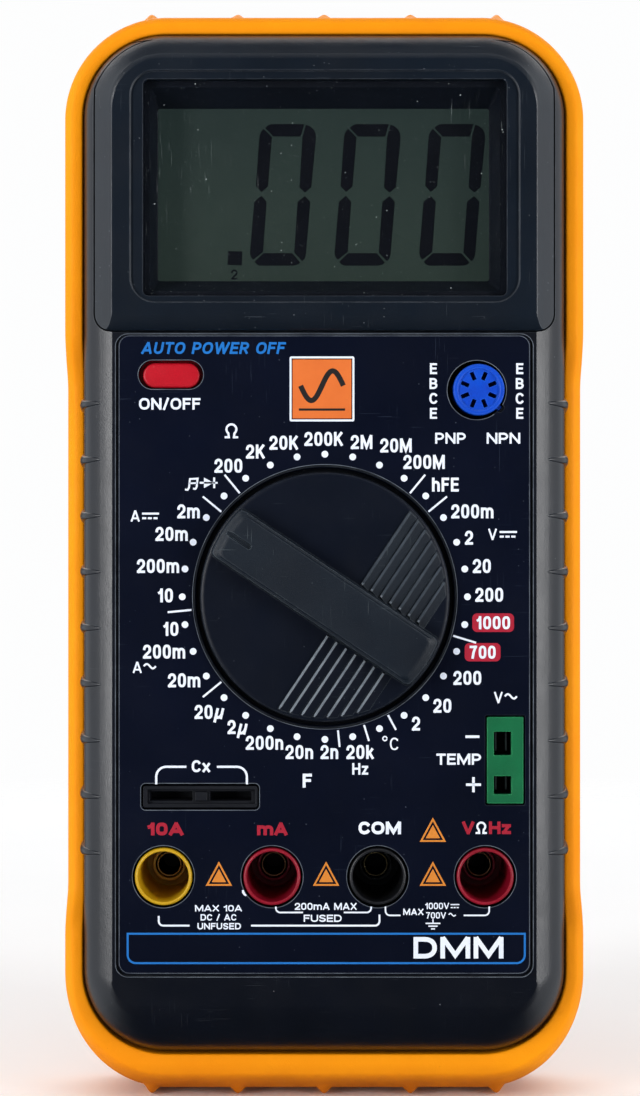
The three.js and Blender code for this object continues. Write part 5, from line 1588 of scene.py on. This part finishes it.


# colours of the cell; the top one is a painted shade
LCD_LOW, LCD_TOP_SHADE, LCD_MID = (31, 41, 36), (26, 35, 34), (30, 38, 35)
M = {
    "rubber": rubber(),
    "case": plastic("case_plastic", (2, 6, 17), (5, 10, 23), (0.29, 0.36), (4200.0, 0.22), 70.0, wear_and_highlight=(72, 78, 84), dust=(110, 116, 122), scratch=(70, 76, 84), spec=0.55, marks=0.25),
    "bezel": plastic("bezel_plastic", (6, 15, 26), (9, 20, 32), (0.29, 0.36), (4600.0, 0.20), 60.0, wear_and_highlight=(84, 90, 98), dust=(126, 132, 140), scratch=(80, 88, 96), spec=0.55, dusty=2.2, marks=0.35),
    "label": plastic("label_film", (3, 8, 24), (6, 12, 30), (0.34, 0.42), (3000.0, 0.06), 50.0, wear_and_highlight=(60, 66, 76), dust=(84, 92, 108), scratch=(36, 44, 60), spec=0.14, dusty=1.2),
    "lens": lens_material(),
    "lcd": lcd_material(),
    "segment": plastic("lcd_segments", (4, 5, 12), (7, 9, 18), (0.30, 0.38), (3000.0, 0.03), 60.0, spec=0.3),
    "frame": plastic("inner_black", (9, 12, 20), (12, 16, 26), (0.42, 0.55), (3600.0, 0.3), 90.0, dust=(110, 118, 128), spec=0.4),
    "disc": plastic("knob_plastic", (5, 11, 24), (8, 15, 29), (0.36, 0.44), (4800.0, 0.14), 60.0, wear_and_highlight=(78, 86, 90), dust=(80, 88, 98), scratch=(46, 54, 64), spec=0.22, dusty=1.2),
    "bar": plastic("knob_bar_frosted", (4, 14, 27), (12, 24, 36), (0.46, 0.55), (5200.0, 0.40), 70.0, wear_and_highlight=(104, 114, 120), dust=(116, 126, 130), scratch=(84, 94, 98), spec=0.34),
    # painted highlight for the knob's flute crests, a lit and a dim copy
    "crest_lit": plastic("knob_crest_lit", (84, 93, 104), (116, 126, 136), (0.36, 0.46), (4200.0, 0.2), 500.0, wear_and_highlight=(150, 156, 160), dust=(150, 156, 160), spec=0.5),
    "crest_dim": plastic("knob_crest_dim", (40, 48, 58), (56, 64, 74), (0.40, 0.50), (4200.0, 0.2), 500.0, wear_and_highlight=(80, 88, 94), dust=(116, 122, 128), spec=0.4),
    # painted light: the bosses deep in the jacks are lighter, lit copies of the jack plastics
    "boss_yellow": plastic("boss_yellow", (222, 180, 66), (236, 196, 82), (0.32, 0.42), (3600.0, 0.14), 150.0, wear_and_highlight=(250, 226, 140), spec=0.5),
    "boss_red": plastic("boss_red", (150, 18, 52), (168, 26, 62), (0.32, 0.42), (3600.0, 0.14), 150.0, wear_and_highlight=(206, 90, 116), spec=0.5),
    "boss_black": plastic("boss_black", (28, 30, 34), (38, 40, 45), (0.32, 0.42), (3600.0, 0.14), 150.0, wear_and_highlight=(150, 154, 156), spec=0.5),
    "red_button": plastic("button_red", (170, 8, 28), (184, 14, 34), (0.34, 0.44), (3600.0, 0.16), 140.0, wear_and_highlight=(220, 76, 86), dust=(230, 140, 140), spec=0.34),
    "blue": plastic("socket_blue", (0, 58, 178), (0, 72, 192), (0.36, 0.46), (3600.0, 0.18), 200.0, wear_and_highlight=(60, 128, 230), dust=(150, 190, 255), spec=0.3),
    # painted shade: darker down inside the socket's holes
    "green": plastic("socket_green", (0, 88, 52), (2, 102, 60), (0.42, 0.52), (3600.0, 0.2), 160.0, wear_and_highlight=(70, 190, 120), dust=(120, 180, 140), spec=0.32, deep=(29.1, 27.2, (3, 12, 9))),
    "yellow": plastic("jack_yellow", (184, 144, 8), (200, 158, 18), (0.30, 0.42), (3600.0, 0.14), 150.0, wear_and_highlight=(216, 180, 64), dust=(250, 230, 160), spec=0.5),
    "jack_red": plastic("jack_red", (126, 6, 28), (144, 12, 38), (0.28, 0.40), (3600.0, 0.14), 150.0, wear_and_highlight=(176, 50, 72), dust=(240, 150, 160), spec=0.5),
    "jack_black": plastic("jack_black", (13, 14, 17), (20, 21, 25), (0.28, 0.40), (3600.0, 0.16), 150.0, wear_and_highlight=(70, 74, 80), dust=(110, 114, 120), spec=0.5),
    "stand": plastic("stand_plastic", (30, 33, 38), (38, 41, 46), (0.46, 0.58), (2600.0, 0.45), 80.0, wear_and_highlight=(84, 88, 92), dust=(120, 124, 128), scratch=(86, 90, 94), spec=0.45),
    "brass": plastic("brass_contact", (176, 138, 70), (198, 160, 92), (0.26, 0.40), (2400.0, 0.2), 300.0, wear_and_highlight=(232, 204, 150), dust=(90, 66, 30), metal=1.0),
    "steel": plastic("steel_hardware", (150, 153, 158), (170, 172, 176), (0.28, 0.42), (2600.0, 0.25), 300.0, wear_and_highlight=(214, 216, 220), dust=(70, 70, 72), metal=1.0),
    "pcb": plastic("pcb_laminate", (22, 78, 44), (32, 94, 54), (0.35, 0.5), (1800.0, 0.25), 260.0, wear_and_highlight=(120, 150, 90), dust=(170, 180, 150), spec=0.5),
    "chip": plastic("chip_plastic", (20, 20, 22), (28, 28, 31), (0.45, 0.6), (4000.0, 0.4), 300.0, wear_and_highlight=(70, 70, 72), dust=(110, 110, 112)),
    "zebra": plastic("zebra_rubber", (36, 36, 38), (50, 50, 52), (0.6, 0.75), (2600.0, 0.3), 900.0, dust=(110, 110, 112)),
    "nylon": plastic("carrier_nylon", (214, 208, 190), (228, 222, 206), (0.38, 0.5), (3000.0, 0.2), 150.0, wear_and_highlight=(240, 236, 226), dust=(150, 140, 120)),
    "trimmer": plastic("trimmer_blue", (24, 78, 160), (34, 92, 178), (0.4, 0.5), (3000.0, 0.2), 200.0, wear_and_highlight=(110, 150, 210), dust=(160, 180, 210)),
    "buzzer": plastic("buzzer_disc", (176, 146, 82), (194, 164, 98), (0.3, 0.45), (2200.0, 0.2), 200.0, wear_and_highlight=(226, 204, 150), dust=(100, 80, 44), metal=1.0),
    "copper": plastic("copper_wire", (176, 106, 64), (196, 124, 78), (0.28, 0.4), (2600.0, 0.2), 300.0, wear_and_highlight=(228, 168, 128), dust=(90, 54, 30), metal=1.0),
    "glass": plastic("fuse_tube_glass", (210, 218, 218), (224, 230, 230), (0.05, 0.12), (900.0, 0.03), 120.0, dust=(240, 244, 244), spec=0.6),
    "battery": plastic("battery_jacket", (42, 42, 46), (54, 54, 58), (0.32, 0.44), (2600.0, 0.12), 90.0, wear_and_highlight=(150, 150, 154), dust=(120, 120, 124), metal=0.3),
    "lead_red": plastic("lead_red", (176, 28, 26), (194, 38, 34), (0.4, 0.52), (2600.0, 0.2), 200.0, wear_and_highlight=(220, 96, 90), dust=(120, 60, 56)),
    "lead_black": plastic("lead_black", (22, 22, 23), (32, 32, 34), (0.4, 0.52), (2600.0, 0.2), 200.0, wear_and_highlight=(80, 80, 82), dust=(110, 110, 112)),
    "white": ink("print_white", (232, 238, 250), (222, 230, 246), 0.5, 0.10),
    "blue_ink": ink("print_blue", (0, 104, 186), (2, 110, 194), 0.5, 0.12),
    "red_ink": ink("print_red", (158, 4, 38), (168, 8, 44), 0.5, 0.12),
    "orange_ink": ink("print_orange", (212, 102, 34), (222, 112, 42), 0.5, 0.12),
    "amber_ink": ink("print_amber", (206, 122, 34), (216, 132, 42), 0.5, 0.12),
    # pale cut edge of the film and painted edge highlight
    "edge_lines_highlight": plastic("cut_edge_and_painted_highlight", (58, 64, 74), (104, 112, 122), (0.30, 0.40), (1200.0, 0.1), 260.0, dust=(120, 126, 132), spec=0.5),
    "mask": plastic("mask_black", (5, 9, 19), (8, 13, 25), (0.42, 0.55), (3600.0, 0.3), 90.0, dust=(130, 138, 148), spec=0.2, dusty=6.0),
    # painted shade: darker down inside the jack, below the mouth of the contact
    "contact": plastic("contact_brass", (224, 196, 136), (238, 212, 156), (0.26, 0.40), (2400.0, 0.2), 300.0, wear_and_highlight=(248, 232, 190), metal=0.35, deep=(13.35, 12.8, (5, 4, 4))),
    "dark_ink": ink("print_dark", (18, 16, 18), (26, 22, 22), 0.5, 0.0),
}

# ---------------------------------------------------------------- pieces
show("holster_shell", holster_part(), M["rubber"], stands_for=("holster",), sharp=40)
show("case_front", front_case_part(), M["case"], stands_for=("front_case",), sharp=20, weighted=True)
show("bezel", bezel_part(), M["bezel"], stands_for=("display_bezel",), sharp=20, weighted=True)
show("window_lens", lens_part(), M["lens"], stands_for=("lcd_window",), sharp=25, weighted=True)
show("display_mask", lcd_frame_part(), M["mask"], stands_for=("lcd_frame",), sharp=25, weighted=True)
show("display_cell", lcd_part(), M["lcd"], stands_for=("lcd_panel",), sharp=25)
show("display_digits", lcd_digits(), M["segment"], smooth=False)
show("label_film", label_part(), M["label"], stands_for=("panel_overlay",), sharp=25, weighted=True)
show("dial_ring", dial_ring_part(), M["case"], sharp=25)
# partly the film's pale cut edge, partly a painted highlight
show("label_edges_and_painted_highlight", label_edges_part(), M["edge_lines_highlight"], smooth=False)
show("print_white_marks", white_print(), M["white"], smooth=False)
show("print_blue_marks", blue_print(), M["blue_ink"], smooth=False)
show("print_red_marks", red_print(), M["red_ink"], smooth=False)
show("print_box_digits", box_digits(), M["white"], smooth=False)
show("print_triangles", triangles(), M["amber_ink"], smooth=False)
show("print_emblem", emblem(), M["orange_ink"], smooth=False)
show("print_emblem_mark", emblem_mark(), M["dark_ink"], smooth=False)

knob = show("range_knob", knob_part(), M["disc"], "knob", ("selector_knob",), sharp=24, weighted=True)
for n in ("bar", "crest_lit", "crest_dim"):
    knob.data.materials.append(M[n])
a = math.radians(-56.25)
for p in knob.data.polygons:
    c = p.center
    w = YC - c.y * 1000
    du, dv = c.x * 1000 - DIAL[0], c.z * 1000 - ZC - DIAL[1]
    x = du * math.cos(a) - dv * math.sin(a)
    if w < 31.42:
        continue
    if abs(x) < 5.3 or w > 31.86:
        p.material_index = 1
    elif w > 31.74:
        # crests: painted highlight, brighter on one side of the bar and at their ends by it
        p.material_index = 2 if x < 0 or x < 6.05 else 3
    # painted light: the flats on this side take the lighter bar plastic
    elif x > 0:
        p.material_index = 1

show("power_key", button_part(), M["red_button"], "button", ("power_button",), sharp=25)
show("transistor_socket", hfe_part(), M["blue"], stands_for=("hfe_socket",), sharp=25)
show("thermocouple_socket", temp_part(), M["green"], stands_for=("temp_socket",), sharp=25, weighted=True)
show("thermocouple_blades", temp_clips_part(), M["steel"], sharp=25)
show("capacitor_socket", cx_part(), M["frame"], stands_for=("cx_socket",), sharp=25, weighted=True)
for n, mat, sl in (("10a", "yellow", "jack_yellow"), ("ma", "jack_red", "jack_red"), ("com", "jack_black", "jack_black"), ("vohm", "jack_red", "jack_red")):
    jack = show("jack_" + n, jack_part(n), M[mat], stands_for=("jack_sleeve_" + n,), sharp=32)
    # painted light: the boss at the bottom of the well takes the lighter, lit copy
    jack.data.materials.append(M["boss_" + mat.replace("jack_", "")])
    for p in jack.data.polygons:
        c = p.center
        if YC - c.y * 1000 > 11.9 and math.hypot(c.x * 1000 - JACK_X[n], c.z * 1000 - ZC - JACK_Y) < 3.3:
            p.material_index = 1
    show("contact_" + n, contact_part(n), M["contact"], stands_for=("jack_contact_" + n,), sharp=35)
show("stand_large", large_stand_part(), M["stand"], "large_stand", ("large_stand",), sharp=28, weighted=True)
show("stand_small", small_stand_part(), M["stand"], "small_stand", ("small_stand",), sharp=28, weighted=True)

# the parts inside keep their CAD shapes
INSIDE = {
    "rear_case": ("case", "case_plastic"),
    "main_pcb": ("pcb", "pcb_laminate"),
    "zebra_strip": ("zebra", "zebra_rubber"),
    "wiper_carrier": ("nylon", "carrier_nylon"),
    "power_switch_body": ("chip", "inner_black"),
    "power_switch_plunger": ("nylon", "carrier_nylon"),
    "adc_chip": ("chip", "chip_plastic"),
    "opamp_chip": ("chip", "chip_plastic"),
    "trimmer": ("trimmer", "trimmer_blue"),
    "buzzer": ("buzzer", "buzzer_disc"),
    "shunt_wire": ("copper", "copper_wire"),
    "fuse_glass": ("glass", "fuse_tube_glass"),
    "battery_9v": ("battery", "battery_jacket"),
    "battery_snap": ("chip", "inner_black"),
    "battery_lead_red": ("lead_red", "lead_red"),
    "battery_lead_black": ("lead_black", "lead_black"),
}
for n in ("case_screw_1", "case_screw_2", "case_screw_3", "pcb_screw_1", "pcb_screw_2", "pcb_screw_3", "detent_ball_1", "detent_ball_2", "detent_spring_1", "detent_spring_2", "fuse_cap_1", "fuse_cap_2"):
    INSIDE[n] = ("steel", "steel_hardware")
for n in ("wiper_contact_1", "wiper_contact_2", "wiper_contact_3", "fuse_clip_1", "fuse_clip_2"):
    INSIDE[n] = ("brass", "brass_contact")
for n, (mat, sl) in INSIDE.items():
    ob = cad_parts[n]
    ob.data.materials.clear()
    ob.data.materials.append(M[mat])
    ob.data.polygons.foreach_set("use_smooth", [True] * len(ob.data.polygons))
    ob.data.set_sharp_from_angle(angle=math.radians(30))

# ---------------------------------------------------------------- floor, light, camera
floor_me = bpy.data.meshes.new("floor")
ring = [(1.5 * math.cos(math.radians(3 * i)), 1.5 * math.sin(math.radians(3 * i)), 0) for i in range(120)]
floor_me.from_pydata(ring, [], [tuple(range(120))])
floor = bpy.data.objects.new("floor", floor_me)
bpy.context.scene.collection.objects.link(floor)
fm = Mat("floor_pale")
sep = fm.nt.nodes.new("ShaderNodeSeparateXYZ")
fm.link(fm.tc, sep.inputs[0])
reach = fm.math("ADD", fm.math("MULTIPLY", sep.outputs[0], sep.outputs[0]), fm.math("MULTIPLY", sep.outputs[1], sep.outputs[1]))
fm.set(alpha=fm.step(reach, 0.03, 0.33, 1.0, 0.0), color=fm.mix(fm.step(fm.noise(6.0, 3.0), 0.3, 0.7), C(244, 244, 244), C(248, 248, 248)), rough=0.6, spec=0.2)
fm.bump([(fm.noise(60.0, 2.0), 0.02, 0.001)])
floor_me.materials.append(fm.m)
floor.visible_glossy = False


def softbox(name, pos, aim, size, power, colour=(1, 1, 1)):
    li = bpy.data.lights.new(name, "AREA")
    li.shape, li.size, li.size_y, li.energy, li.color = "RECTANGLE", size[0], size[1], power, colour
    ob = bpy.data.objects.new(name, li)
    bpy.context.scene.collection.objects.link(ob)
    ob.location = pos
    ob.rotation_mode = "QUATERNION"
    ob.rotation_quaternion = (Vector(aim) - Vector(pos)).to_track_quat("-Z", "Y")
    ob.visible_camera = False
    return ob


MID = Vector(((CAD_LO.x + CAD_HI.x) / 2, 0, (CAD_LO.z + CAD_HI.z) / 2))
softbox("soft_left", (-0.56, -0.50, 0.17), MID, (0.17, 0.62), 3.8)
softbox("soft_right", (0.60, -0.44, 0.15), MID, (0.17, 0.62), 3.1)
softbox("soft_top", (0.0, -0.30, 0.95), MID, (0.9, 0.5), 1.5)
softbox("soft_back", (0.0, 0.85, 0.75), (0, 0.55, 0), (1.6, 0.8), 9.0)

world = bpy.data.worlds.new("studio")
bpy.context.scene.world = world
world.use_nodes = True
nt = world.node_tree
nt.nodes.clear()
out = nt.nodes.new("ShaderNodeOutputWorld")
path = nt.nodes.new("ShaderNodeLightPath")


def sky(colour, strength):
    n = nt.nodes.new("ShaderNodeBackground")
    n.inputs[0].default_value, n.inputs[1].default_value = colour, strength
    return n.outputs[0]


def either(fac, a, b):
    n = nt.nodes.new("ShaderNodeMixShader")
    nt.links.new(fac, n.inputs[0])
    nt.links.new(a, n.inputs[1])
    nt.links.new(b, n.inputs[2])
    return n.outputs[0]


# pale backdrop; in the fill and the reflections the studio is bright at its two sides and dark elsewhere
where = nt.nodes.new("ShaderNodeTexCoord")
axes = nt.nodes.new("ShaderNodeSeparateXYZ")
nt.links.new(where.outputs["Generated"], axes.inputs[0])
flank = nt.nodes.new("ShaderNodeMath")
flank.operation = "ABSOLUTE"
nt.links.new(axes.outputs[0], flank.inputs[0])
near = nt.nodes.new("ShaderNodeMapRange")
near.interpolation_type = "SMOOTHSTEP"
nt.links.new(flank.outputs[0], near.inputs[0])
near.inputs[1].default_value, near.inputs[2].default_value = 0.45, 0.85
fill = either(near.outputs[0], sky((0.95, 0.97, 1.0, 1), 0.26), sky((0.97, 0.98, 1.0, 1), 0.80))
dark = either(near.outputs[0], sky((0.78, 0.88, 1.0, 1), 0.05), sky((0.92, 0.96, 1.0, 1), 1.05))
pale = sky((0.985, 0.987, 0.99, 1), 1.0)
nt.links.new(either(path.outputs["Is Camera Ray"], either(path.outputs["Is Glossy Ray"], fill, dark), pale), out.inputs[0])

cam_data = bpy.data.cameras.new("camera")
cam = bpy.data.objects.new("camera", cam_data)
bpy.context.scene.collection.objects.link(cam)
cam_data.sensor_width, cam_data.lens = 36.0, 72.07
cam_data.clip_start, cam_data.clip_end = 0.01, 50
cam.location = (-0.00079, (YC - PANEL - 400.0) / 1000, (ZC - 0.70) / 1000)
cam.rotation_euler = (math.radians(90), 0, 0)
bpy.context.scene.camera = cam
bpy.context.scene.view_settings.view_transform = "Standard"
